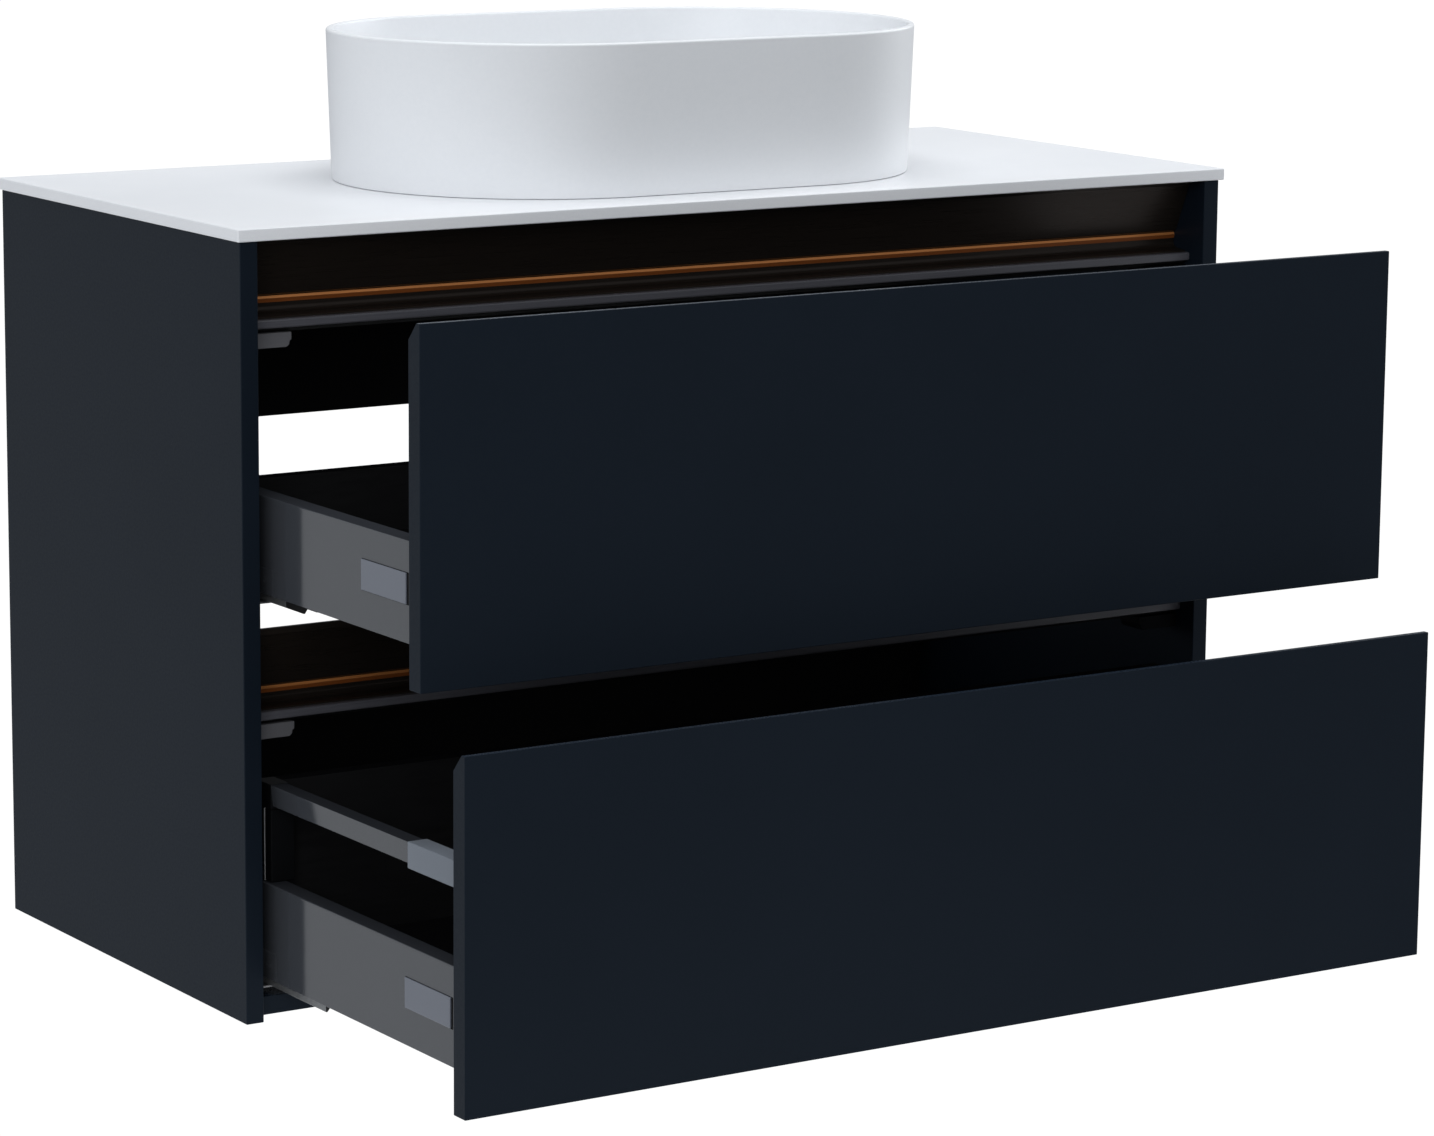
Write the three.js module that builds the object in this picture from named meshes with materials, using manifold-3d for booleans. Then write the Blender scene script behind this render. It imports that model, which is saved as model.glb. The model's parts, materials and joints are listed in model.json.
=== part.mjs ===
// Wall-hung vanity with a vessel basin, two grip-channel drawers and metal drawer sides.
// Millimetres, +Z up, +Y towards the wall, +X to the right of a person facing the unit.
// The origin is the centre of the hanging rail's back face, which meets the wall.
import * as THREE from "three";
import { mergeVertices } from "three/addons/utils/BufferGeometryUtils.js";
import Module from "manifold-3d";

const wasm = await Module();
wasm.setup();

// ---------------------------------------------------------------- driving dimensions

const CABINET_W = 1000;
const CABINET_D = 450;
const CABINET_H = 650;
const PANEL_T = 16;
const JOINT_GAP = 0.3; // clearance left between pieces that touch

const REAR_RAIL_H = 218; // height of the hanging rail and of the lower rear rail
const GRIP_H = 36.5; // open finger channel above each drawer front
const FRONT_T = 18;
const FRONT_SIDE_GAP = 2;
const FRONT_BEVEL_FLAT = 5.5; // top edge left flat in front of the bevel
const FRONT_BEVEL_DROP = 14; // the bevel takes the rest of the top edge and falls this far

const COUNTER_T = 10.5;
const COUNTER_SIDE_OVERHANG = 3.5;
const COUNTER_FRONT_OVERHANG = 4;

const BASIN_L = 552;
const BASIN_W = 362;
const BASIN_H = 132;
const BASIN_TAPER = 4.5; // how far the foot stands inside the rim, per side
const BASIN_WALL = 6;
const BASIN_FLOOR = 14;
const BASIN_COVE_R = 46; // inside radius between wall and floor
const BASIN_SEGMENTS = 40;

const WASTE_HOLE_R = 22.5;
const WASTE_FLANGE_R = 32;
const WASTE_FLANGE_T = 2.5;
const WASTE_TUBE_R = 19.5;
const WASTE_BORE_R = 16;
const WASTE_DROP = 75; // how far the tail reaches below the countertop
const PLUG_LIFT = 8; // plug travel between closed and open

const DRAWER_L = 350; // metal side length behind the front
const SIDE_H = 81.8;
const SIDE_W = 18;
const SIDE_SHEET = 1.25;
const SIDE_GAP = 11.4; // running gap between cabinet side and drawer side
const SIDE_LIFT = 32.7; // metal side's lower edge above the front's lower edge
const RAIL_H = 18; // gallery rail of the lower drawer
const RAIL_W = 15;
const RAIL_TOP = 165; // rail top above the metal side's lower edge
const BOARD_T = 16;

const UPPER_OPEN = 260.5; // how far each drawer stands open at rest
const LOWER_OPEN = 328.7;
const RUNNER_RATIO = 0.5; // middle member's travel per unit of drawer travel
const RUNNER_L = 280;
const RUNNER_SETBACK = 74.5; // middle member's front end behind the cabinet front, drawer closed

// ---------------------------------------------------------------- derived places

const HALF_W = CABINET_W / 2;
const INNER_X = HALF_W - PANEL_T;
const FRONT_Y = -CABINET_D;
const TOP_Z = REAR_RAIL_H / 2;
const BOTTOM_Z = TOP_Z - CABINET_H;
const FRONT_H = CABINET_H / 2 - GRIP_H;
const COUNTER_TOP = TOP_Z + JOINT_GAP + COUNTER_T;
const COUNTER_D = CABINET_D + COUNTER_FRONT_OVERHANG;
const BASIN_Y = -COUNTER_D / 2;
const BASIN_BASE = COUNTER_TOP + JOINT_GAP;
const SIDE_OUT_X = INNER_X - SIDE_GAP;
const SIDE_IN_X = SIDE_OUT_X - SIDE_W;
const BOARD_X = SIDE_IN_X - JOINT_GAP;
const DRAWER_PITCH = CABINET_H / 2;

const SIDES = [
  { label: "left", sign: -1 },
  { label: "right", sign: 1 },
];
const LEVELS = [
  { label: "upper", top: TOP_Z, open: UPPER_OPEN, railed: false },
  { label: "lower", top: TOP_Z - DRAWER_PITCH, open: LOWER_OPEN, railed: true },
];

// ---------------------------------------------------------------- finishes

const FINISHES = {
  navyLacquer: { color: 0x202732, roughness: 0.5, metalness: 0 },
  darkMelamine: { color: 0x1a1b1d, roughness: 0.6, metalness: 0 },
  whiteStone: { color: 0xe6e7ea, roughness: 0.45, metalness: 0 },
  whiteCeramic: { color: 0xeceef0, roughness: 0.4, metalness: 0 },
  blackAluminium: { color: 0x17171a, roughness: 0.4, metalness: 0.6 },
  copperAccent: { color: 0xa65f2c, roughness: 0.35, metalness: 0.8 },
  drawerSteel: { color: 0x6b7078, roughness: 0.42, metalness: 0.4 },
  zincSteel: { color: 0x8a8d90, roughness: 0.35, metalness: 0.9 },
  greyPlastic: { color: 0x55565c, roughness: 0.5, metalness: 0 },
  blueGreyPlastic: { color: 0x6b727e, roughness: 0.5, metalness: 0 },
  chrome: { color: 0xd8dadd, roughness: 0.12, metalness: 1 },
  blackRubber: { color: 0x141414, roughness: 0.8, metalness: 0 },
};

// ---------------------------------------------------------------- geometry helpers

// A shape's x and y become the two named axes, and it is extruded along the third.
const PLANES = {
  yz: [new THREE.Vector3(0, 1, 0), new THREE.Vector3(0, 0, 1), new THREE.Vector3(1, 0, 0)],
  xz: [new THREE.Vector3(1, 0, 0), new THREE.Vector3(0, 0, 1), new THREE.Vector3(0, -1, 0)],
  xy: [new THREE.Vector3(1, 0, 0), new THREE.Vector3(0, 1, 0), new THREE.Vector3(0, 0, 1)],
};

function outline(points) {
  return new THREE.Shape(points.map(([a, b]) => new THREE.Vector2(a, b)));
}

// Extrudes a shape by length from start, measured along the plane's third axis.
function prism(plane, shape, start, length, curveSegments = 12) {
  const settings = { depth: length, bevelEnabled: false, curveSegments };
  const geometry = new THREE.ExtrudeGeometry(shape, settings);
  geometry.translate(0, 0, start);
  const [a, b, c] = PLANES[plane];
  return geometry.applyMatrix4(new THREE.Matrix4().makeBasis(a, b, c));
}

function block([x0, x1], [y0, y1], [z0, z1]) {
  const geometry = new THREE.BoxGeometry(Math.abs(x1 - x0), y1 - y0, z1 - z0);
  return geometry.translate((x0 + x1) / 2, (y0 + y1) / 2, (z0 + z1) / 2);
}

// Revolves a closed [radius, height] profile about a vertical axis through (0, y).
function turned(profile, y, z, segments = 32) {
  const points = profile.map(([r, h]) => new THREE.Vector2(r, h));
  return new THREE.LatheGeometry(points, segments).rotateX(Math.PI / 2).translate(0, y, z);
}

function toSolid(geometry) {
  const bare = new THREE.BufferGeometry();
  bare.setAttribute("position", geometry.getAttribute("position"));
  bare.setIndex(geometry.index);
  const merged = mergeVertices(bare, 1e-3);
  return new wasm.Manifold(
    new wasm.Mesh({
      numProp: 3,
      vertProperties: merged.attributes.position.array,
      triVerts: new Uint32Array(merged.index.array),
    }),
  );
}

function toGeometry(solid) {
  const { vertProperties, triVerts } = solid.getMesh();
  const geometry = new THREE.BufferGeometry();
  geometry.setAttribute("position", new THREE.BufferAttribute(vertProperties, 3));
  geometry.setIndex(new THREE.BufferAttribute(triVerts, 1));
  geometry.computeVertexNormals();
  return geometry;
}

function cut(geometry, ...tools) {
  return toGeometry(tools.reduce((solid, tool) => solid.subtract(toSolid(tool)), toSolid(geometry)));
}

function join(geometry, ...others) {
  return toGeometry(others.reduce((solid, other) => solid.add(toSolid(other)), toSolid(geometry)));
}

const vanity = new THREE.Group();

function place(name, finish, geometry) {
  const mesh = new THREE.Mesh(geometry, new THREE.MeshStandardMaterial(FINISHES[finish]));
  mesh.name = name;
  vanity.add(mesh);
}

// ---------------------------------------------------------------- carcass

function sidePanel(sign) {
  return block([sign * INNER_X, sign * HALF_W], [FRONT_Y, 0], [BOTTOM_Z, TOP_Z]);
}

const FIT_X = INNER_X - JOINT_GAP; // half length of whatever fits between the side panels
const HANGER_NOTCH_W = 44;
const HANGER_NOTCH_H = 56;

// The hanging rail's top corners are notched for the hangers' hooks.
function hangingRail() {
  const top = TOP_Z - JOINT_GAP;
  const notchX = FIT_X - HANGER_NOTCH_W;
  const notchZ = TOP_Z - HANGER_NOTCH_H;
  const shape = outline([
    [-FIT_X, -TOP_Z],
    [FIT_X, -TOP_Z],
    [FIT_X, notchZ],
    [notchX, notchZ],
    [notchX, top],
    [-notchX, top],
    [-notchX, notchZ],
    [-FIT_X, notchZ],
  ]);
  return prism("xz", shape, 0, PANEL_T);
}

function lowerRearRail() {
  return block([-FIT_X, FIT_X], [-PANEL_T, 0], [BOTTOM_Z, BOTTOM_Z + REAR_RAIL_H]);
}

const BOTTOM_SETBACK = 20;

function bottomPanel() {
  const back = -PANEL_T - JOINT_GAP;
  return block([-FIT_X, FIT_X], [FRONT_Y + BOTTOM_SETBACK, back], [BOTTOM_Z, BOTTOM_Z + PANEL_T]);
}

const STRETCHER_SETBACK = 60;
const STRETCHER_W = 80;

function topStretcher() {
  const top = TOP_Z - JOINT_GAP;
  const front = FRONT_Y + STRETCHER_SETBACK;
  return block([-FIT_X, FIT_X], [front, front + STRETCHER_W], [top - PANEL_T, top]);
}

// A hanger block behind each top corner, with a hook that reaches back through the rail's notch.
function wallHanger(sign) {
  const body = { front: -66, back: -PANEL_T - JOINT_GAP, low: TOP_Z - 52, high: TOP_Z - 6 };
  const hook = { back: -1, low: TOP_Z - 34, high: TOP_Z - 12, lip: 6, lipT: 4 };
  const section = outline([
    [body.front, body.low],
    [body.back, body.low],
    [body.back, hook.low],
    [hook.back - hook.lipT, hook.low],
    [hook.back - hook.lipT, hook.low - hook.lip],
    [hook.back, hook.low - hook.lip],
    [hook.back, hook.high],
    [body.back, hook.high],
    [body.back, body.high],
    [body.front, body.high],
  ]);
  const width = 36;
  const inset = 2;
  const start = sign > 0 ? FIT_X - inset - width : -FIT_X + inset;
  return prism("yz", section, start, width);
}

// ---------------------------------------------------------------- grip channels

// The channel section is drawn as depth behind the cabinet front and drop below the recess top.
const CHANNEL = {
  face: 20, // front of the short top flange
  flangeFoot: 3,
  wallTop: [22.4, 5.8],
  wallFoot: [40.2, 49],
  strip: { depth: 43.3, high: 50.7, low: 53.9, seat: 1.4 },
  floorBack: 57,
  coveR: 7,
  floorFront: [26, 66],
  lipBack: 24.5,
  lipTop: 67.3,
  lipFoot: 74.7,
  lipFront: 19.6,
  lipChamfer: 2,
  underside: [30, 78.8],
  sheet: 1.8,
  backDepth: 47.4,
  backChamfer: 4,
};
const LOWER_FLANGE_RISE = 2.4; // the lower channel's flange overlaps the front above it

function channelSection(recessTop, flangeTop) {
  const c = CHANNEL;
  const y = (depth) => FRONT_Y + depth;
  const z = (drop) => recessTop - drop;
  const shape = new THREE.Shape();
  const line = (depth, drop) => shape.lineTo(y(depth), z(drop));
  shape.moveTo(y(c.face), z(flangeTop));
  line(c.face, c.flangeFoot);
  line(...c.wallTop);
  line(...c.wallFoot);
  line(c.strip.depth, c.strip.high);
  line(c.strip.depth + c.strip.seat, c.strip.high);
  line(c.strip.depth + c.strip.seat, c.strip.low);
  line(c.strip.depth, c.strip.low);
  line(c.strip.depth, c.floorBack);
  shape.absarc(y(c.strip.depth - c.coveR), z(c.floorBack), c.coveR, 0, -Math.PI / 2, true);
  line(...c.floorFront);
  line(c.lipBack, c.lipTop);
  line(c.lipFront + c.lipChamfer, c.lipTop);
  line(c.lipFront, c.lipTop + c.lipChamfer);
  line(c.lipFront, c.lipFoot - c.lipChamfer);
  line(c.lipFront + c.lipChamfer, c.lipFoot);
  line(...c.underside);
  line(c.strip.depth, c.underside[1]);
  line(c.backDepth, c.underside[1] - c.backChamfer);
  line(c.backDepth, c.wallFoot[1]);
  line(c.wallFoot[0] + c.sheet, c.wallFoot[1] - c.sheet);
  line(c.wallTop[0] + c.sheet, c.flangeFoot + c.sheet);
  line(c.wallTop[0] + c.sheet, flangeTop);
  return shape;
}

function gripChannel(recessTop, flangeTop) {
  return prism("yz", channelSection(recessTop, flangeTop), -FIT_X, 2 * FIT_X, 5);
}

const STRIP_PROUD = 0.2; // the strip stands this far in front of its seat's mouth

function accentStrip(recessTop) {
  const { depth, high, low, seat } = CHANNEL.strip;
  const y = [FRONT_Y + depth - STRIP_PROUD, FRONT_Y + depth + seat - JOINT_GAP];
  const z = [recessTop - low + JOINT_GAP, recessTop - high - JOINT_GAP];
  return block([-FIT_X, FIT_X], y, z);
}

const CLIP = { length: 43.3, height: 13.8, setback: 25, depth: 30 };
const CLIP_SHOULDER = [1.8, 8]; // how far the stepped end has drawn in, at this depth below the top
const CLIP_SHOULDER_TOP = 6;
const CLIP_HEEL = 3;
const CLIP_TOE = [5, 1.5];

// A clip under each end of a channel, screwed to the side panel.
function channelClip(recessTop, sign) {
  const top = recessTop - CHANNEL.underside[1] - JOINT_GAP;
  const foot = top - CLIP.height;
  const root = sign * FIT_X;
  const end = (drawnIn) => root - sign * (CLIP.length - drawnIn);
  const shape = outline([
    [root, top],
    [end(0), top],
    [end(0), top - CLIP_SHOULDER_TOP],
    [end(CLIP_SHOULDER[0]), top - CLIP_SHOULDER[1]],
    [end(CLIP_HEEL), foot + CLIP_TOE[1]],
    [end(CLIP_TOE[0]), foot],
    [root, foot],
  ]);
  const front = FRONT_Y + CLIP.setback;
  return prism("xz", shape, -front - CLIP.depth, CLIP.depth);
}

// ---------------------------------------------------------------- countertop and basin

function countertop() {
  const halfW = HALF_W + COUNTER_SIDE_OVERHANG;
  const slab = outline([
    [-halfW, -COUNTER_D],
    [halfW, -COUNTER_D],
    [halfW, 0],
    [-halfW, 0],
  ]);
  const hole = new THREE.Path();
  hole.absarc(0, BASIN_Y, WASTE_HOLE_R, 0, 2 * Math.PI, true);
  slab.holes.push(hole);
  return prism("xy", slab, TOP_Z + JOINT_GAP, COUNTER_T);
}

// A stadium-shaped bowl is a turned bowl split across its middle, its halves moved apart.
function stadiumBowl(profile, straight) {
  const step = (2 * Math.PI) / BASIN_SEGMENTS;
  const points = profile.map(([r, h]) => new THREE.Vector2(r, h));
  const bowl = new THREE.LatheGeometry(points, BASIN_SEGMENTS, step / 2);
  const position = bowl.attributes.position;
  for (let i = 0; i < position.count; i += 1) {
    const column = Math.floor(i / points.length) % BASIN_SEGMENTS;
    const side = column < BASIN_SEGMENTS / 2 ? 1 : -1;
    position.setX(i, position.getX(i) + (side * straight) / 2);
  }
  return bowl.rotateX(Math.PI / 2).translate(0, BASIN_Y, BASIN_BASE);
}

const BASIN_FOOT_EXTRA = 2; // the wall is this much thicker at the foot than at the rim
const BASIN_RIM_CHAMFER = 2;
const BASIN_INNER_CHAMFER = 1;
const BASIN_DISH = 2; // how far the bowl's floor falls from its edge to the waste
const WASTE_SEAT = BASIN_FLOOR - 3; // recess for the waste flange in the bowl's floor
const WASTE_SEAT_R = WASTE_FLANGE_R + 0.5;
const COVE_STEPS = 5;

// A round cutting tool on the waste's axis, from a height above the basin's base up into the bowl.
function plugTool(radius, low) {
  const high = BASIN_FLOOR + BASIN_COVE_R;
  return turned([[0, low], [radius, low], [radius, high], [0, high]], BASIN_Y, BASIN_BASE);
}

function basin() {
  const rimR = BASIN_W / 2;
  const footR = rimR - BASIN_TAPER;
  const innerRim = rimR - BASIN_WALL;
  const innerFoot = footR - BASIN_WALL - BASIN_FOOT_EXTRA;
  const coveFoot = BASIN_FLOOR + BASIN_DISH;
  const profile = [
    [0, 0],
    [footR, 0],
    [rimR, BASIN_H - BASIN_RIM_CHAMFER],
    [rimR - BASIN_RIM_CHAMFER, BASIN_H],
    [innerRim + BASIN_INNER_CHAMFER, BASIN_H],
    [innerRim, BASIN_H - BASIN_INNER_CHAMFER],
    [innerFoot, coveFoot + BASIN_COVE_R],
  ];
  for (let i = 1; i <= COVE_STEPS; i += 1) {
    const turn = (i / COVE_STEPS) * (Math.PI / 2);
    const r = innerFoot - BASIN_COVE_R * (1 - Math.cos(turn));
    profile.push([r, coveFoot + BASIN_COVE_R * (1 - Math.sin(turn))]);
  }
  profile.push([0, BASIN_FLOOR]);
  const bowl = stadiumBowl(profile, BASIN_L - BASIN_W);
  const hole = plugTool(WASTE_HOLE_R, -BASIN_FLOOR);
  const seat = plugTool(WASTE_SEAT_R, WASTE_SEAT);
  return cut(bowl, hole, seat);
}

// ---------------------------------------------------------------- waste

const WASTE_TOP = BASIN_BASE + WASTE_SEAT + JOINT_GAP; // underside of the waste flange
const WASTE_END = TOP_Z - WASTE_DROP;
const STEM_R = 4;
const STEM_L = 32;
const STEM_PLAY = 0.4;
const FLANGE_CHAMFER = 1;
const MOUTH_CHAMFER = 2;
const BAR_HALF_W = 6;
const BAR_DROP = 14; // cross bar's top below the flange's underside
const BAR_H = 8;

// A flanged tube; a cross bar inside it guides the plug's stem and leaves both sides open.
function wasteBody() {
  const end = WASTE_END - WASTE_TOP;
  const tube = turned(
    [
      [WASTE_BORE_R, end],
      [WASTE_TUBE_R, end],
      [WASTE_TUBE_R, 0],
      [WASTE_FLANGE_R, 0],
      [WASTE_FLANGE_R, WASTE_FLANGE_T - FLANGE_CHAMFER],
      [WASTE_FLANGE_R - FLANGE_CHAMFER, WASTE_FLANGE_T],
      [WASTE_BORE_R + MOUTH_CHAMFER, WASTE_FLANGE_T],
      [WASTE_BORE_R, WASTE_FLANGE_T - MOUTH_CHAMFER],
      [WASTE_BORE_R, end],
    ],
    BASIN_Y,
    WASTE_TOP,
  );
  const barTop = WASTE_TOP - BAR_DROP;
  const reach = (WASTE_BORE_R + WASTE_TUBE_R) / 2;
  const barY = [BASIN_Y - BAR_HALF_W, BASIN_Y + BAR_HALF_W];
  const bar = block([-reach, reach], barY, [barTop - BAR_H, barTop]);
  const guideR = STEM_R + STEM_PLAY;
  const guide = turned([[0, end], [guideR, end], [guideR, 0], [0, 0]], BASIN_Y, WASTE_TOP, 16);
  return cut(join(tube, bar), guide);
}

const CAP_R = 29;
const CAP_T = 5.5;
const CAP_EDGE_T = 2;
const CAP_CHAMFER = 3;
const CAP_NECK_R = 15;
const CAP_NECK_H = 0.5;

// The push-to-open plug stands lifted by PLUG_LIFT, on a stem that runs in the waste's cross bar.
function wastePlug() {
  const seatZ = WASTE_TOP + WASTE_FLANGE_T + JOINT_GAP + PLUG_LIFT;
  const profile = [
    [0, -STEM_L],
    [STEM_R, -STEM_L],
    [STEM_R, -CAP_NECK_H],
    [CAP_NECK_R, 0],
    [CAP_R, 0],
    [CAP_R, CAP_EDGE_T],
    [CAP_R - CAP_CHAMFER, CAP_EDGE_T + CAP_CHAMFER / 2],
    [0, CAP_T],
  ];
  return turned(profile, BASIN_Y, seatZ);
}

const GASKET_T = 3;
const NUT_T = 11;
const NUT_R = 29;
const NUT_FACETS = 12;

function wasteGasket() {
  const innerR = WASTE_TUBE_R + JOINT_GAP;
  const outerR = NUT_R + 2;
  const high = TOP_Z;
  const low = high - GASKET_T;
  const section = [
    [innerR, low],
    [outerR, low],
    [outerR, high],
    [innerR, high],
    [innerR, low],
  ];
  return turned(section, BASIN_Y, 0);
}

// The nut under the countertop is faceted outside and round inside.
function wasteNut() {
  const facet = (2 * Math.PI) / NUT_FACETS;
  const corners = Array.from({ length: NUT_FACETS }, (_, i) => [
    NUT_R * Math.cos(i * facet),
    BASIN_Y + NUT_R * Math.sin(i * facet),
  ]);
  const shape = outline(corners);
  const hole = new THREE.Path();
  hole.absarc(0, BASIN_Y, WASTE_TUBE_R + 2 * JOINT_GAP, 0, 2 * Math.PI, true);
  shape.holes.push(hole);
  return prism("xy", shape, TOP_Z - GASKET_T - JOINT_GAP - NUT_T, NUT_T);
}

// ---------------------------------------------------------------- drawers

const RAIL_LEAN = 1.7;
const RAIL_CAP_L = 68;
const RAIL_END_W = 17.5; // width of the cap and the socket at the rail's two ends
const RAIL_END_H = 21; // they have the rail's top and outer face and reach lower
const RAIL_SOCKET_L = 28;
const HOLDER_W = 22;
const HOLDER_D = 12;
const RAIL_X = SIDE_OUT_X - 2.4; // outer face of the gallery rail
const BASE_LOW = 11.3; // underside of the base board above the metal side's lower edge
const FLANGE_LOW = 9.8;
const FLANGE_REACH = 12;

// A drawer's own heights and depths, for a drawer that stands open by level.open.
function drawerFrame(level) {
  const frontLow = level.top - DRAWER_PITCH;
  const faceY = FRONT_Y - level.open;
  return {
    frontLow,
    faceY,
    sideLow: frontLow + SIDE_LIFT,
    sideFront: faceY + FRONT_T + JOINT_GAP,
    sideBack: faceY + FRONT_T + DRAWER_L,
    backTop: frontLow + SIDE_LIFT + (level.railed ? RAIL_TOP : SIDE_H),
  };
}

// The front's top edge is bevelled at the back, so that fingers can hook over it.
function drawerFront(frame) {
  const halfW = INNER_X - FRONT_SIDE_GAP;
  const high = frame.frontLow + FRONT_H;
  const y = frame.faceY;
  const section = outline([
    [y, frame.frontLow],
    [y, high],
    [y + FRONT_BEVEL_FLAT, high],
    [y + FRONT_T, high - FRONT_BEVEL_DROP],
    [y + FRONT_T, frame.frontLow],
  ]);
  return prism("yz", section, -halfW, 2 * halfW);
}

// A folded steel side, open below, whose inner flange carries the base board.
function drawerSide(frame, sign) {
  const z = (height) => frame.sideLow + height;
  const s = SIDE_SHEET;
  const shape = outline([
    [sign * SIDE_OUT_X, z(0)],
    [sign * SIDE_OUT_X, z(SIDE_H)],
    [sign * SIDE_IN_X, z(SIDE_H)],
    [sign * SIDE_IN_X, z(FLANGE_LOW + s)],
    [sign * (SIDE_IN_X - FLANGE_REACH), z(FLANGE_LOW + s)],
    [sign * (SIDE_IN_X - FLANGE_REACH), z(FLANGE_LOW)],
    [sign * (SIDE_IN_X + s), z(FLANGE_LOW)],
    [sign * (SIDE_IN_X + s), z(SIDE_H - s)],
    [sign * (SIDE_OUT_X - s), z(SIDE_H - s)],
    [sign * (SIDE_OUT_X - s), z(0)],
  ]);
  return prism("xz", shape, -frame.sideBack, frame.sideBack - frame.sideFront);
}

function drawerBase(frame) {
  const low = frame.sideLow + BASE_LOW;
  const back = frame.sideBack - BOARD_T - JOINT_GAP;
  return block([-BOARD_X, BOARD_X], [frame.sideFront, back], [low, low + BOARD_T]);
}

// A high back stands between the rail sockets, a low one between the metal sides.
function drawerBack(frame, level) {
  const halfW = level.railed ? RAIL_X - RAIL_END_W - JOINT_GAP : BOARD_X;
  const low = frame.sideLow + BASE_LOW;
  return block([-halfW, halfW], [frame.sideBack - BOARD_T, frame.sideBack], [low, frame.backTop]);
}

const BRACKET_L = 45;
const BRACKET_LOW = 15;
const BRACKET_H = 57;

// A bracket inside the hollow side that fastens it to the front.
function frontBracket(frame, sign) {
  const outer = sign * (SIDE_OUT_X - SIDE_SHEET - JOINT_GAP);
  const inner = sign * (SIDE_IN_X + SIDE_SHEET + JOINT_GAP);
  const x = [outer, inner].sort((a, b) => a - b);
  const y = [frame.sideFront, frame.sideFront + BRACKET_L];
  const low = frame.sideLow + BRACKET_LOW;
  return block(x, y, [low, low + BRACKET_H]);
}

const COVER_T = 0.8;
const COVER_L = 72;
const COVER_LOW = 31;
const COVER_H = 25;
const COVER_SETBACK = 19.5; // cover plate's front end behind the metal side's front end

// A plain plate that covers the front fixing on the outside of the metal side.
function coverPlate(frame, sign) {
  const near = SIDE_OUT_X + JOINT_GAP;
  const x = [near, near + COVER_T].map((value) => sign * value).sort((a, b) => a - b);
  const y = [frame.sideFront + COVER_SETBACK, frame.sideFront + COVER_SETBACK + COVER_L];
  return block(x, y, [frame.sideLow + COVER_LOW, frame.sideLow + COVER_LOW + COVER_H]);
}

// The block at either end of the rail, level with the rail's top and outer face.
function railEnd(frame, sign, y) {
  const x = [RAIL_X - RAIL_END_W, RAIL_X].map((value) => sign * value).sort((a, b) => a - b);
  const top = frame.sideLow + RAIL_TOP;
  return block(x, y, [top - RAIL_END_H, top]);
}

// The rail's outer face leans inwards on its way down.
function galleryRail(frame, sign) {
  const front = frame.sideFront + RAIL_CAP_L + JOINT_GAP;
  const back = frame.sideBack - RAIL_SOCKET_L - JOINT_GAP;
  const top = frame.sideLow + RAIL_TOP;
  const section = outline([
    [sign * RAIL_X, top],
    [sign * (RAIL_X - RAIL_LEAN), top - RAIL_H],
    [sign * (RAIL_X - RAIL_W), top - RAIL_H],
    [sign * (RAIL_X - RAIL_W), top],
  ]);
  return prism("xz", section, -back, back - front);
}

function railCap(frame, sign) {
  return railEnd(frame, sign, [frame.sideFront, frame.sideFront + RAIL_CAP_L]);
}

function railSocket(frame, sign) {
  return railEnd(frame, sign, [frame.sideBack - RAIL_SOCKET_L, frame.sideBack]);
}

// A post between the metal side and the rail socket, in front of the high back.
function backHolder(frame, sign) {
  const x = [RAIL_X - HOLDER_W, RAIL_X].map((value) => sign * value).sort((a, b) => a - b);
  const back = frame.sideBack - BOARD_T - JOINT_GAP;
  const low = frame.sideLow + SIDE_H + JOINT_GAP;
  const high = frame.sideLow + RAIL_TOP - RAIL_END_H - JOINT_GAP;
  return block(x, [back - HOLDER_D, back], [low, high]);
}

// ---------------------------------------------------------------- runners

const RUNNER_SHEET = 1.5;
const RUNNER_DROP = 8.9; // cabinet member's underside below the metal side's lower edge
const MIDDLE_TOP = 7.6; // middle member's top above the metal side's lower edge
const CABINET_MEMBER_L = 340;
const CABINET_FLANGE_TOP = 18; // cabinet member's top above the metal side's lower edge
const CABINET_FOOT_W = 26;
const RIB_OFFSET = 18.8; // upright rib's outer face from the side panel
const RIB_T = 3;
const RIB_TOP = 1; // rib's top above the metal side's lower edge
const MIDDLE_W = 13.5;
const MIDDLE_INSET = 2.5; // middle member's outer face inside the metal side's outer face
const MIDDLE_SLANT = 9; // the slant cut off its lower front corner
const MIDDLE_PLAY = 1; // middle member's height over the cabinet member's foot
const CABINET_MEMBER_SETBACK = FRONT_T + 1; // clears the closed drawer front

// An angle screwed to the side panel, with an upright rib that the middle member runs over.
function cabinetRunner(frame, sign) {
  const wall = FIT_X;
  const low = frame.sideLow - RUNNER_DROP;
  const ribX = wall - RIB_OFFSET;
  const rib = { outer: ribX, inner: ribX - RIB_T, top: frame.sideLow + RIB_TOP };
  const flangeTop = frame.sideLow + CABINET_FLANGE_TOP;
  const footEnd = wall - CABINET_FOOT_W;
  const shape = outline(
    [
      [wall, low],
      [wall, flangeTop],
      [wall - RUNNER_SHEET, flangeTop],
      [wall - RUNNER_SHEET, low + RUNNER_SHEET],
      [rib.outer, low + RUNNER_SHEET],
      [rib.outer, rib.top],
      [rib.inner, rib.top],
      [rib.inner, low + RUNNER_SHEET],
      [footEnd, low + RUNNER_SHEET],
      [footEnd, low],
    ].map(([x, z]) => [sign * x, z]),
  );
  const front = FRONT_Y + CABINET_MEMBER_SETBACK;
  return prism("xz", shape, -front - CABINET_MEMBER_L, CABINET_MEMBER_L);
}

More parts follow.
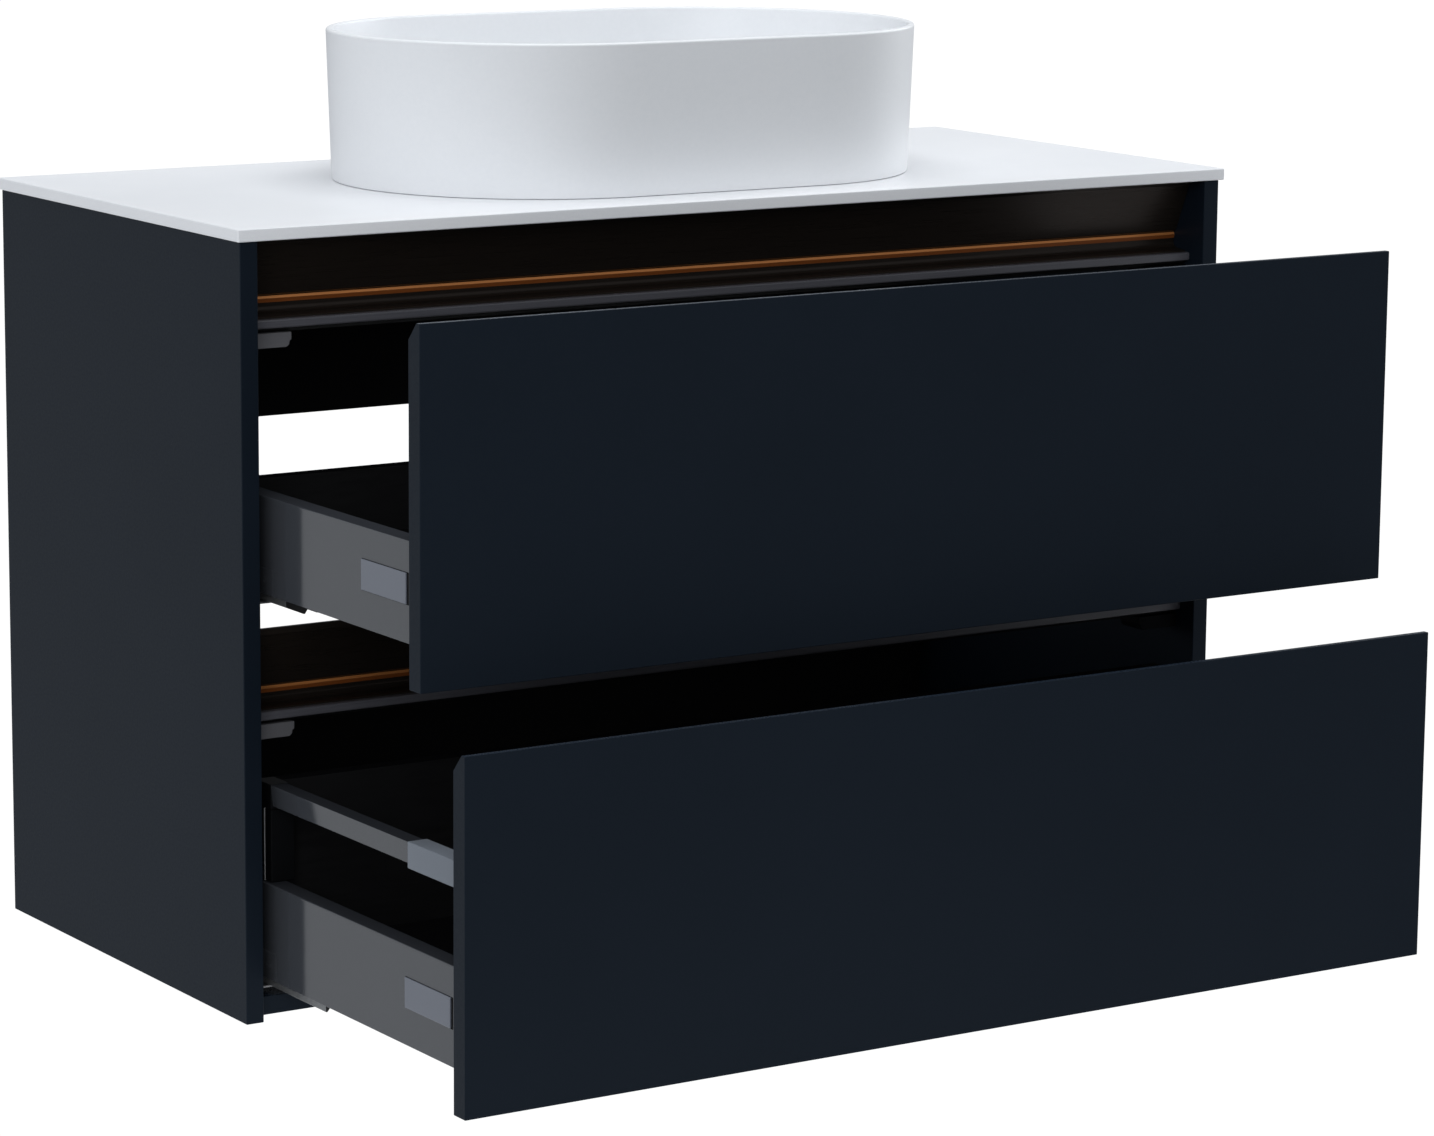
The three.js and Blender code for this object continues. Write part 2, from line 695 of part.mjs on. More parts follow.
// An inverted channel under the drawer side; its lower front corner is cut at a slant.
function middleRunner(frame, level, sign) {
  const outer = SIDE_OUT_X - MIDDLE_INSET;
  const inner = outer - MIDDLE_W;
  const low = frame.sideLow - RUNNER_DROP + RUNNER_SHEET + MIDDLE_PLAY;
  const top = frame.sideLow + MIDDLE_TOP;
  const s = RUNNER_SHEET;
  const shape = outline(
    [
      [outer, low],
      [outer, top],
      [inner, top],
      [inner, low],
      [inner + s, low],
      [inner + s, top - s],
      [outer - s, top - s],
      [outer - s, low],
    ].map(([x, z]) => [sign * x, z]),
  );
  const front = FRONT_Y + RUNNER_SETBACK - level.open * RUNNER_RATIO;
  const channel = prism("xz", shape, -front - RUNNER_L, RUNNER_L);
  const wedge = outline([
    [front - 1, low - 1],
    [front + MIDDLE_SLANT, low - 1],
    [front - 1, low + MIDDLE_SLANT],
  ]);
  return cut(channel, prism("yz", wedge, -HALF_W, CABINET_W));
}

// ---------------------------------------------------------------- assembly

function placeCarcass() {
  for (const { label, sign } of SIDES) {
    place(`side_panel_${label}`, "navyLacquer", sidePanel(sign));
    place(`wall_hanger_${label}`, "zincSteel", wallHanger(sign));
  }
  place("hanging_rail", "darkMelamine", hangingRail());
  place("lower_rear_rail", "darkMelamine", lowerRearRail());
  place("bottom_panel", "navyLacquer", bottomPanel());
  place("top_stretcher", "darkMelamine", topStretcher());
}

function placeGripChannels() {
  for (const level of LEVELS) {
    const flangeTop = level.railed ? -LOWER_FLANGE_RISE : JOINT_GAP;
    place(`grip_channel_${level.label}`, "blackAluminium", gripChannel(level.top, flangeTop));
    place(`accent_strip_${level.label}`, "copperAccent", accentStrip(level.top));
    for (const { label, sign } of SIDES) {
      place(`channel_clip_${level.label}_${label}`, "greyPlastic", channelClip(level.top, sign));
    }
  }
}

function placeBasinAndWaste() {
  place("countertop", "whiteStone", countertop());
  place("basin", "whiteCeramic", basin());
  place("waste_body", "chrome", wasteBody());
  place("waste_plug", "chrome", wastePlug());
  place("waste_gasket", "blackRubber", wasteGasket());
  place("waste_nut", "greyPlastic", wasteNut());
}

function placeDrawer(level) {
  const frame = drawerFrame(level);
  const name = (piece, side) => [level.label, piece, side].filter(Boolean).join("_");
  place(name("front"), "navyLacquer", drawerFront(frame));
  place(name("base"), "darkMelamine", drawerBase(frame));
  place(name("back"), "darkMelamine", drawerBack(frame, level));
  for (const { label, sign } of SIDES) {
    place(name("side", label), "drawerSteel", drawerSide(frame, sign));
    place(name("front_bracket", label), "zincSteel", frontBracket(frame, sign));
    place(name("cover_plate", label), "drawerSteel", coverPlate(frame, sign));
    place(name("runner_cabinet", label), "zincSteel", cabinetRunner(frame, sign));
    place(name("runner_middle", label), "zincSteel", middleRunner(frame, level, sign));
    if (level.railed) {
      place(name("rail", label), "drawerSteel", galleryRail(frame, sign));
      place(name("rail_cap", label), "blueGreyPlastic", railCap(frame, sign));
      place(name("rail_socket", label), "blueGreyPlastic", railSocket(frame, sign));
      place(name("back_holder", label), "darkMelamine", backHolder(frame, sign));
    }
  }
}

placeCarcass();
placeGripChannels();
placeBasinAndWaste();
LEVELS.forEach(placeDrawer);

export default vanity;
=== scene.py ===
"""Looks for a wall-hung vanity with a vessel basin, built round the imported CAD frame.

Metres, +Z up, +Y towards the wall, +X to the right of a person facing the unit.
"""
import json
import math

import bmesh
import bpy
from mathutils import Matrix, Vector


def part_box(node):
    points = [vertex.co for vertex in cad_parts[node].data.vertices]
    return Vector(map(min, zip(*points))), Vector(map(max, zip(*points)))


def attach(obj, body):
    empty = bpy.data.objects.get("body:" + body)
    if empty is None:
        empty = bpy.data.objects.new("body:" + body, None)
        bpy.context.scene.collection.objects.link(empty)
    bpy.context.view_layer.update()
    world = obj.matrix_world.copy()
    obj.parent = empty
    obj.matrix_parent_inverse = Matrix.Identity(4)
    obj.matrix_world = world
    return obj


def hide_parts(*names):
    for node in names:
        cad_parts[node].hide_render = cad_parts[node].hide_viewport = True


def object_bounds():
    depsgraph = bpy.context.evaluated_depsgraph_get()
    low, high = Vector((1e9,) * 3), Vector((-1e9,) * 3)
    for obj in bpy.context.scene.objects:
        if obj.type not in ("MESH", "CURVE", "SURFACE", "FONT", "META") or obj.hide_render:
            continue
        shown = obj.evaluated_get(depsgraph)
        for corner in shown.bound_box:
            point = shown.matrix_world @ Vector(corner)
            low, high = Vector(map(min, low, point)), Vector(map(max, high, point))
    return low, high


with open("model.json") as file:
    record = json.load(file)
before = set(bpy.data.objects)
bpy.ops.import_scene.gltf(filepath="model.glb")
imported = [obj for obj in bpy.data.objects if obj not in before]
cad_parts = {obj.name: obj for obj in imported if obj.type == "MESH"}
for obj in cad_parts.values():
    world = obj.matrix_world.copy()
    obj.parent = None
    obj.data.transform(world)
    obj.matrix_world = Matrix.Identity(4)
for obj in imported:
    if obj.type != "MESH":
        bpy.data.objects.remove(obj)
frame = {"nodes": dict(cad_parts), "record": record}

CAD_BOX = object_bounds()
MM = 0.001
SIDES = (("left", -1), ("right", 1))
LEVELS = ("upper", "lower")
BODY_OF = {
    node: body
    for body, nodes in frame["record"]["behaviour"]["bodies"].items()
    for node in nodes
}
SLOT_OF = {row["node"]: row["material_slot"] for row in frame["record"]["subparts"]}

# ---------------------------------------------------------------- camera, light and floor

CAMERA_PLACE = (-2.3336, -3.9849, 0.5814)
CAMERA_YAW = math.radians(32.968)
CAMERA_PITCH = math.radians(10.502)
CAMERA_ROLL = math.radians(-0.489)
CAMERA_LENS = 124.6
SENSOR_WIDTH = 36
CLIP_NEAR = 0.05
CLIP_FAR = 100
LIT_POINT = (0, -0.4, 0)
FLOOR_DROP = 0.9  # floor below the lowest point of the unit
FLOOR_RADIUS = 1.9
FLOOR_SIDES = 96
FLOOR_COLOUR = (0.72, 0.72, 0.73, 1)
FLOOR_ROUGHNESS = 0.9
FLOOR_GLOW = 0.6
WHITE = (1, 1, 1, 1)
LIGHT_COLOUR = (0.97, 0.985, 1)
SOFT_LIGHTS = (  # name, place, size and power
    ("left", (-4.0, 0.3, 1.3), (3.2, 2.6), 8),
    ("right", (4.0, 0.0, 1.2), (3.0, 2.4), 83),
    ("top", (0.0, -0.4, 3.2), (3.0, 2.4), 68),
    ("front", (-3.2, -4.6, 1.8), (3.0, 2.4), 78),
)
SURROUND_BRIGHTEST = (-1.0, 0.0, 0.0)
SURROUND_TURN = 0.6  # it goes from dimmest to brightest as the facing goes from minus this to this
SURROUND_LOW = 0.32
SURROUND_HIGH = 0.56
SURROUND_SEEN = 1.05  # strength of the white that the camera sees
SURROUND_COLOUR = (0.93, 0.96, 1.0, 1.0)


def make_camera():
    """The camera at the photograph's place, its roll worked in by turning right and down about ahead."""
    ahead = Vector((
        math.sin(CAMERA_YAW) * math.cos(CAMERA_PITCH),
        math.cos(CAMERA_YAW) * math.cos(CAMERA_PITCH),
        -math.sin(CAMERA_PITCH),
    ))
    level_right = Vector((math.cos(CAMERA_YAW), -math.sin(CAMERA_YAW), 0))
    level_down = ahead.cross(level_right)
    right = math.cos(CAMERA_ROLL) * level_right + math.sin(CAMERA_ROLL) * level_down
    down = math.cos(CAMERA_ROLL) * level_down - math.sin(CAMERA_ROLL) * level_right
    data = bpy.data.cameras.new("camera")
    data.sensor_width = SENSOR_WIDTH
    data.lens = CAMERA_LENS
    data.clip_start = CLIP_NEAR
    data.clip_end = CLIP_FAR
    camera = bpy.data.objects.new("camera", data)
    turn = Matrix((right, -down, -ahead)).transposed().to_4x4()
    camera.matrix_world = Matrix.Translation(CAMERA_PLACE) @ turn
    bpy.context.scene.collection.objects.link(camera)
    bpy.context.scene.camera = camera


def soft_light(name, place, size, power):
    """An area light that faces the lit point and isn't seen itself."""
    data = bpy.data.lights.new(name, "AREA")
    data.shape = "RECTANGLE"
    data.size, data.size_y = size
    data.energy = power
    data.color = LIGHT_COLOUR
    light = bpy.data.objects.new(name, data)
    light.location = place
    light.rotation_euler = (Vector(LIT_POINT) - Vector(place)).to_track_quat("-Z", "Y").to_euler()
    light.visible_camera = False
    bpy.context.scene.collection.objects.link(light)


def make_world():
    """A white surround for the camera; for light and reflections a grey one, brightest on the left."""
    world = bpy.data.worlds.new("studio")
    bpy.context.scene.world = world
    world.use_nodes = True
    nodes, links = world.node_tree.nodes, world.node_tree.links
    nodes.clear()
    place = nodes.new("ShaderNodeTexCoord")
    facing = nodes.new("ShaderNodeVectorMath")
    facing.operation = "DOT_PRODUCT"
    facing.inputs[1].default_value = SURROUND_BRIGHTEST
    links.new(place.outputs["Generated"], facing.inputs[0])
    strength = nodes.new("ShaderNodeMapRange")
    strength.inputs["From Min"].default_value = -SURROUND_TURN
    strength.inputs["From Max"].default_value = SURROUND_TURN
    strength.inputs["To Min"].default_value = SURROUND_LOW
    strength.inputs["To Max"].default_value = SURROUND_HIGH
    links.new(facing.outputs["Value"], strength.inputs["Value"])
    path = nodes.new("ShaderNodeLightPath")
    shown, lit = nodes.new("ShaderNodeBackground"), nodes.new("ShaderNodeBackground")
    shown.inputs["Strength"].default_value = SURROUND_SEEN
    shown.inputs["Color"].default_value = WHITE
    lit.inputs["Color"].default_value = SURROUND_COLOUR
    links.new(strength.outputs["Result"], lit.inputs["Strength"])
    mix = nodes.new("ShaderNodeMixShader")
    out = nodes.new("ShaderNodeOutputWorld")
    links.new(path.outputs["Is Camera Ray"], mix.inputs["Fac"])
    links.new(lit.outputs["Background"], mix.inputs[1])
    links.new(shown.outputs["Background"], mix.inputs[2])
    links.new(mix.outputs["Shader"], out.inputs["Surface"])


def make_floor():
    """A pale disc well below the unit, which hangs on a wall."""
    bm = bmesh.new()
    centre = Matrix.Translation((LIT_POINT[0], LIT_POINT[1], CAD_BOX[0].z - FLOOR_DROP))
    bmesh.ops.create_circle(bm, cap_ends=True, radius=FLOOR_RADIUS, segments=FLOOR_SIDES, matrix=centre)
    mesh = bpy.data.meshes.new("floor")
    bm.to_mesh(mesh)
    bm.free()
    floor = bpy.data.objects.new("floor", mesh)
    bpy.context.scene.collection.objects.link(floor)
    material = bpy.data.materials.new("pale_floor")
    material.use_nodes = True
    shader = material.node_tree.nodes["Principled BSDF"]
    shader.inputs["Base Color"].default_value = FLOOR_COLOUR
    shader.inputs["Roughness"].default_value = FLOOR_ROUGHNESS
    shader.inputs["Emission Color"].default_value = WHITE
    shader.inputs["Emission Strength"].default_value = FLOOR_GLOW
    mesh.materials.append(material)


def make_studio():
    make_camera()
    make_world()
    make_floor()
    for name, place, size, power in SOFT_LIGHTS:
        soft_light(name, place, size, power)
    view = bpy.context.scene.view_settings
    view.view_transform = "Standard"
    view.look = "None"
    view.exposure = 0
    view.gamma = 1


# ---------------------------------------------------------------- finishes

MATERIALS = {}
# The finish that a look's top faces are shown in: a copy with painted shade for steel and board, a lighter
# copy with painted highlight for lacquer.
PAINTED_TOP_LOOKS = {"drawer_steel": "painted_shade_steel", "dark_board": "painted_shade_board", "navy_lacquer": "painted_highlight_lacquer"}
TOP_SLOPE = 0.85  # a face whose normal rises more than this is a top face
NOISE_LOW, NOISE_HIGH = 0.32, 0.68  # most of a noise's values lie between these
PATCH_SCALE = 7  # broad patches per metre
PATCH_DETAIL = 3
GRAIN_DETAIL = 4
EVEN = (1, 1, 1)
ALONG_X = (0.02, 1, 1)  # draws a pattern out along x, as on extruded metal
BOARD_GRAIN = (0.06, 1, 1)
# Tint for the copper strip's reflected light, painted on the black aluminium.
COPPER_BOUNCE_TINT = (1.0, 0.84, 0.76, 1)
COOL = (0.76, 0.89, 1.0, 1)


def spread(nodes, links, value, low, high):
    """Stretches a noise's middle range over low to high."""
    node = nodes.new("ShaderNodeMapRange")
    node.inputs["From Min"].default_value = NOISE_LOW
    node.inputs["From Max"].default_value = NOISE_HIGH
    node.inputs["To Min"].default_value = low
    node.inputs["To Max"].default_value = high
    links.new(value, node.inputs["Value"])
    return node.outputs["Result"]


def finish(look, dark, light, rough, grain, relief, stretch=EVEN, cells=False, **shader_values):
    """A finish with broad patches and a fine grain in its colour, and the grain in its gloss and relief."""
    material = bpy.data.materials.new(look + "_finish")
    material.use_nodes = True
    nodes, links = material.node_tree.nodes, material.node_tree.links
    shader = nodes["Principled BSDF"]
    place = nodes.new("ShaderNodeTexCoord")
    mapping = nodes.new("ShaderNodeMapping")
    mapping.inputs["Scale"].default_value = stretch
    links.new(place.outputs["Object"], mapping.inputs["Vector"])
    broad = nodes.new("ShaderNodeTexNoise")
    broad.inputs["Scale"].default_value = PATCH_SCALE
    broad.inputs["Detail"].default_value = PATCH_DETAIL
    links.new(mapping.outputs["Vector"], broad.inputs["Vector"])
    if cells:
        fine = nodes.new("ShaderNodeTexVoronoi")
        split = nodes.new("ShaderNodeSeparateColor")
        links.new(fine.outputs["Color"], split.inputs["Color"])
        grain_value = split.outputs["Red"]
    else:
        fine = nodes.new("ShaderNodeTexNoise")
        fine.inputs["Detail"].default_value = GRAIN_DETAIL
        grain_value = fine.outputs["Fac"]
    fine.inputs["Scale"].default_value = grain
    links.new(mapping.outputs["Vector"], fine.inputs["Vector"])
    both = nodes.new("ShaderNodeMath")
    both.operation = "ADD"
    links.new(spread(nodes, links, broad.outputs["Fac"], 0, 0.5), both.inputs[0])
    links.new(spread(nodes, links, grain_value, 0, 0.5), both.inputs[1])
    tone = nodes.new("ShaderNodeMix")
    tone.data_type = "RGBA"
    tone.inputs["A"].default_value = (*dark, 1)
    tone.inputs["B"].default_value = (*light, 1)
    links.new(both.outputs["Value"], tone.inputs["Factor"])
    links.new(tone.outputs["Result"], shader.inputs["Base Color"])
    links.new(spread(nodes, links, grain_value, *rough), shader.inputs["Roughness"])
    bump = nodes.new("ShaderNodeBump")
    bump.inputs["Distance"].default_value = relief
    links.new(grain_value, bump.inputs["Height"])
    links.new(bump.outputs["Normal"], shader.inputs["Normal"])
    for socket, value in shader_values.items():
        shader.inputs[socket.replace("_", " ")].default_value = value
    MATERIALS[look] = material


def make_finishes():
    """The finishes: darkest and lightest colour, roughness range, grain per metre, relief in metres."""
    finish("navy_lacquer", (0.0050, 0.0085, 0.0142), (0.0061, 0.0100, 0.0166), (0.42, 0.52), 420, 10e-6,
           Specular_IOR_Level=0.125, Specular_Tint=COOL)
    # Lighter, glossier copy of the lacquer for top faces: painted highlight.
    finish("painted_highlight_lacquer", (0.013, 0.021, 0.034), (0.016, 0.025, 0.040), (0.25, 0.30), 420, 5e-6,
           Specular_IOR_Level=0.125)
    finish("dark_board", (0.0050, 0.0050, 0.0054), (0.0090, 0.0090, 0.0097), (0.50, 0.66), 620, 25e-6,
           stretch=BOARD_GRAIN, Specular_IOR_Level=0.12)
    # Copy of the board without reflection for top faces: painted shade.
    finish("painted_shade_board", (0.0058, 0.0058, 0.0066), (0.0088, 0.0088, 0.0098), (0.60, 0.75), 620, 25e-6,
           stretch=BOARD_GRAIN, Specular_IOR_Level=0.0)
    finish("white_stone", (0.77, 0.785, 0.812), (0.825, 0.835, 0.856), (0.40, 0.52), 900, 6e-6,
           Specular_IOR_Level=0.35)
    finish("white_ceramic", (0.785, 0.802, 0.826), (0.815, 0.828, 0.848), (0.34, 0.44), 260, 5e-6,
           Specular_IOR_Level=0.35)
    # Its warm tint, in colour and in its reflections, is the copper strip's reflected light painted on.
    finish("black_aluminium", (0.0085, 0.0066, 0.0054), (0.0125, 0.0098, 0.0080), (0.26, 0.34), 900, 5e-6,
           stretch=ALONG_X, Specular_IOR_Level=0.32, Specular_Tint=COPPER_BOUNCE_TINT)
    finish("copper_accent", (0.55, 0.20, 0.055), (0.72, 0.29, 0.09), (0.30, 0.40), 900, 8e-6,
           stretch=ALONG_X, Metallic=0.45)
    finish("drawer_steel", (0.039, 0.042, 0.049), (0.046, 0.050, 0.057), (0.09, 0.13), 2600, 2e-6,
           cells=True, Specular_IOR_Level=0.55, IOR=1.7)
    # Darker copy of the drawer steel without reflection for top faces: painted shade.
    finish("painted_shade_steel", (0.022, 0.024, 0.028), (0.026, 0.028, 0.033), (0.50, 0.60), 2600, 2e-6,
           cells=True, Specular_IOR_Level=0.0)
    finish("cover_steel", (0.122, 0.134, 0.164), (0.138, 0.151, 0.182), (0.12, 0.18), 2600, 2e-6,
           cells=True, Specular_IOR_Level=0.6)
    finish("lip_aluminium", (0.060, 0.060, 0.070), (0.085, 0.085, 0.098), (0.30, 0.40), 900, 4e-6,
           stretch=ALONG_X, Specular_IOR_Level=0.5)
    # Darker copper for the strip's lower band, which faces down: painted shade.
    finish("painted_shade_copper", (0.20, 0.055, 0.010), (0.27, 0.075, 0.014), (0.34, 0.44), 900, 8e-6,
           stretch=ALONG_X, Metallic=0.3)
    finish("zinc_steel", (0.24, 0.246, 0.252), (0.32, 0.326, 0.332), (0.30, 0.40), 700, 3e-6,
           cells=True, Metallic=0.8)
    # Light grey for the holder's steel edge: its lightness is painted highlight.
    finish("edge_painted_highlight", (0.50, 0.505, 0.51), (0.62, 0.625, 0.63), (0.34, 0.44), 1200, 3e-6, Metallic=0.3)
    # Near-black plastic for parts that lie in shade: painted shade.
    finish("painted_shade_plastic", (0.0022, 0.0024, 0.0029), (0.0040, 0.0044, 0.0052), (0.60, 0.72), 2200, 10e-6,
           Specular_IOR_Level=0.06)
    finish("grey_plastic", (0.10, 0.10, 0.108), (0.13, 0.13, 0.14), (0.48, 0.60), 2200, 12e-6,
           Specular_IOR_Level=0.35)
    finish("blue_grey_plastic", (0.145, 0.165, 0.195), (0.175, 0.195, 0.225), (0.42, 0.54), 2200, 10e-6,
           Specular_IOR_Level=0.35)
    finish("chrome", (0.70, 0.71, 0.73), (0.80, 0.81, 0.83), (0.05, 0.12), 160, 1e-6, Metallic=1.0)
    finish("black_rubber", (0.0045, 0.0045, 0.0048), (0.0080, 0.0080, 0.0085), (0.62, 0.78), 1500, 20e-6,
           Specular_IOR_Level=0.12)


# ---------------------------------------------------------------- mesh helpers

EDGE_SHARE = 0.48  # the most of an edge that one rounded corner may take
MITRE_LIMIT = 0.3  # keeps a sharp corner from running off when an outline is inset
MERGE = 0.0001 * MM
WELD = 0.01 * MM
EASE_STEPS = 3
CREASE = 35  # degrees; a sharper edge stays sharp in shading
PAST = 5 * MM  # how far a drill goes past what it cuts
SUNK = 0.1 * MM  # how deep a screw's head sits in its surface
SCREW_SIDES = 20
# A pan head with a drive recess: radius and height, as shares of the head's radius.
SCREW_PROFILE = (
    (0, 0), (1, 0), (0.97, 0.22), (0.8, 0.38), (0.5, 0.46), (0.36, 0.44), (0.3, 0.12), (0, 0.06),
)


def lifted(plane, a, b, c):
    """The point at a, b in a plane and c along the plane's third axis."""
    return {"yz": (c, a, b), "xz": (a, c, b), "xy": (a, b, c)}[plane]


def rounded(corners, steps=4):
    """The points of a closed outline whose corners, each (a, b, radius), are rounded off."""
    points = []
    for i, (a, b, radius) in enumerate(corners):
        here = Vector((a, b))
        back = Vector(corners[i - 1][:2]) - here
        onward = Vector(corners[(i + 1) % len(corners)][:2]) - here
        if radius <= 0:
            points.append(here)
            continue
        opening = back.angle(onward)
        reach = min(radius / math.tan(opening / 2), EDGE_SHARE * back.length, EDGE_SHARE * onward.length)
        radius = reach * math.tan(opening / 2)
        start = here + back.normalized() * reach
        inwards = (back.normalized() + onward.normalized()).normalized()
        centre = here + inwards * radius / math.sin(opening / 2)
        sweep = math.copysign(math.pi - opening, -back.cross(onward))
        for k in range(steps + 1):
            points.append(centre + Matrix.Rotation(sweep * k / steps, 2) @ (start - centre))
    return points


def inset(points, distance):
    """The closed outline moved inwards by a distance."""
    total = len(points)
    area = sum(points[i - 1].cross(points[i]) for i in range(total))
    moved = []
    for i, here in enumerate(points):
        before = (here - points[i - 1]).normalized()
        after = (points[(i + 1) % total] - here).normalized()
        one, other = [Vector((-edge.y, edge.x)) * math.copysign(1, area) for edge in (before, after)]
        moved.append(here + (one + other) * distance / max(MITRE_LIMIT, 1 + one.dot(other)))
    return moved


def skin(bm, rings, closed=False):
    """Quads between rings of points, with flat ends or joined end to start."""
    made = [[bm.verts.new(p) for p in ring] for ring in rings]
    pairs = list(zip(made, made[1:]))
    if closed:
        pairs.append((made[-1], made[0]))
    else:
        bm.faces.new(made[0])
        bm.faces.new(made[-1])
    for one, other in pairs:
        for i in range(len(one)):
            bm.faces.new((one[i - 1], one[i], other[i], other[i - 1]))


def prism(bm, plane, points, start, end, ease=0.0, steps=EASE_STEPS):
    """An outline extruded from start to end, its two end faces' edges rounded by ease."""
    levels = [(0.0, 0.0)]
    if ease:
        turns = [k / steps * math.pi / 2 for k in range(steps + 1)]
        levels = [(ease * (1 - math.cos(t)), ease * (1 - math.sin(t))) for t in turns]
    step = [(start + along, shrink) for along, shrink in levels]
    step += [(end - along, shrink) for along, shrink in reversed(levels)]
    skin(bm, [[lifted(plane, *p, c) for p in inset(points, shrink)] for c, shrink in step])


def slab(bm, lo, hi, ease, steps=EASE_STEPS):
    """A board or block between two corners, all its edges rounded."""
    corners = [(lo[1], lo[2], ease), (hi[1], lo[2], ease), (hi[1], hi[2], ease), (lo[1], hi[2], ease)]
    prism(bm, "yz", rounded(corners, steps), lo[0], hi[0], ease, steps)


def turned(bm, profile, place, turn=Matrix.Identity(3), segments=64, closed=False):
    """A profile of (radius, height) pairs revolved about its axis, then turned and placed."""
    spin = [2 * math.pi * k / segments for k in range(segments)]
    rings = [
        [Vector(place) + turn @ Vector((r * math.cos(t), r * math.sin(t), h)) for t in spin]
        for r, h in profile
    ]
    skin(bm, rings, closed)


def solid(name, bm):
    """An object made of bm, cleaned and with its faces outwards."""
    bmesh.ops.remove_doubles(bm, verts=bm.verts, dist=MERGE)
    bmesh.ops.dissolve_degenerate(bm, edges=bm.edges, dist=MERGE)
    bmesh.ops.recalc_face_normals(bm, faces=bm.faces)
    mesh = bpy.data.meshes.new(name)
    bm.to_mesh(mesh)
    bm.free()
    made = bpy.data.objects.new(name, mesh)
    bpy.context.scene.collection.objects.link(made)
    return made


def carve(obj, *cutters):
    """Cuts the cutters out of obj and removes them."""
    for cutter in cutters:
        modifier = obj.modifiers.new("carve", "BOOLEAN")
        modifier.operation = "DIFFERENCE"
        modifier.solver = "EXACT"
        modifier.object = cutter
    cut = bpy.data.meshes.new_from_object(obj.evaluated_get(bpy.context.evaluated_depsgraph_get()))
    obj.modifiers.clear()
    obj.data = cut
    for cutter in cutters:
        bpy.data.objects.remove(cutter)
    return obj


def drill(name, centre, radius, low, high, segments=64):
    """A round upright cutter about the centre, going past low and high."""
    bm = bmesh.new()
    turned(bm, [(radius, low - PAST), (radius, high + PAST)], centre, segments=segments)
    return solid(name, bm)


def dress(obj, slot, body, stands_for=(), crease=CREASE, look=None):
    """Shades obj, gives it its finish, with a second one on top faces if it has one, painted shade or
    painted highlight, and puts it on a body.
    """
    obj.data.shade_smooth()
    obj.data.set_sharp_from_angle(angle=math.radians(crease))
    obj.data.materials.clear()
    obj.data.materials.append(MATERIALS[look or slot])
    # Faces that rise steeply get the painted shade or painted highlight copy.
    top = PAINTED_TOP_LOOKS.get(look or slot)
    if top:
        obj.data.materials.append(MATERIALS[top])
        for face in obj.data.polygons:
            face.material_index = int(face.normal.z > TOP_SLOPE)
    obj.modifiers.new("even_shading", "WEIGHTED_NORMAL").keep_sharp = True
    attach(obj, body)
    if stands_for:
        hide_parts(*stands_for)


def stand_in(node, bm, cutters=(), part="shape", crease=CREASE, look=None):
    """A detailed piece that stands for a CAD node, with the node's slot and body."""
    piece = solid(node + "_" + part, bm)
    if cutters:
        carve(piece, *cutters)
    dress(piece, SLOT_OF[node], BODY_OF[node], (node,), crease, look)


def detail(name, bm, slot, body, look=None):
    """A small added piece, such as a row of screws."""
    dress(solid(name, bm), slot, body, look=look)


def mirrored(bounds, sign):
    """Outer and inner x of a box on one side of the unit, and its other two ranges."""
    lo, hi = bounds
    outer, inner = (hi.x, lo.x) if sign > 0 else (lo.x, hi.x)
    return outer, inner, (lo.y, hi.y), (lo.z, hi.z)


def board(node, ease, look=None):
    """A board or block stand-in with the node's own size and eased edges."""
    bm = bmesh.new()
    slab(bm, *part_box(node), ease)
    stand_in(node, bm, look=look)


def screw(bm, place, axis, radius):
    """A pan-head screw's head with a round drive recess, standing on place and facing along axis."""
    turn = Vector(axis).to_track_quat("Z", "Y").to_matrix()
    turned(bm, [(r * radius, h * radius) for r, h in SCREW_PROFILE], place, turn, SCREW_SIDES)


def keep(node, ease):
    """Shows the CAD node itself, its edges eased by modifiers and its finish put in its material slot."""
    obj = frame["nodes"][node]
    weld = obj.modifiers.new("weld", "WELD")
    weld.merge_threshold = WELD
    bevel = obj.modifiers.new("ease", "BEVEL")
    bevel.width = ease
    bevel.segments = EASE_STEPS
    bevel.limit_method = "ANGLE"
    bevel.angle_limit = math.radians(CREASE)
    obj.material_slots[0].material = MATERIALS[SLOT_OF[node]]


# ---------------------------------------------------------------- carcass

PANEL_LOW, PANEL_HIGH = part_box("side_panel_left")
FRONT_Y = PANEL_LOW.y
TOP_Z = PANEL_HIGH.z
PITCH = (PANEL_HIGH.z - PANEL_LOW.z) / 2
RECESS_TOP = {"upper": TOP_Z, "lower": TOP_Z - PITCH}


HANGER_R = 2 * MM
HANGER_GAP = 0.3 * MM  # between the hanger's block and the rear rail
HANGER_SCREW_R = 4.5 * MM
HANGER_SCREWS = ((-8 * MM, 0.36), (8 * MM, 0.68))  # place across, and share of the block's height
HOOK_BELOW_TOP = 34 * MM
HOOK_TOP_BELOW_TOP = 12 * MM
HOOK_LIP = 6 * MM
HOOK_T = 4 * MM


def make_carcass():
    for side, _ in SIDES:
        board("side_panel_" + side, ease=0.8 * MM)
        make_hanger("wall_hanger_" + side)
    board("bottom_panel", ease=0.6 * MM)
    board("lower_rear_rail", ease=0.4 * MM)
    board("top_stretcher", ease=0.4 * MM)
    keep("hanging_rail", ease=0.4 * MM)


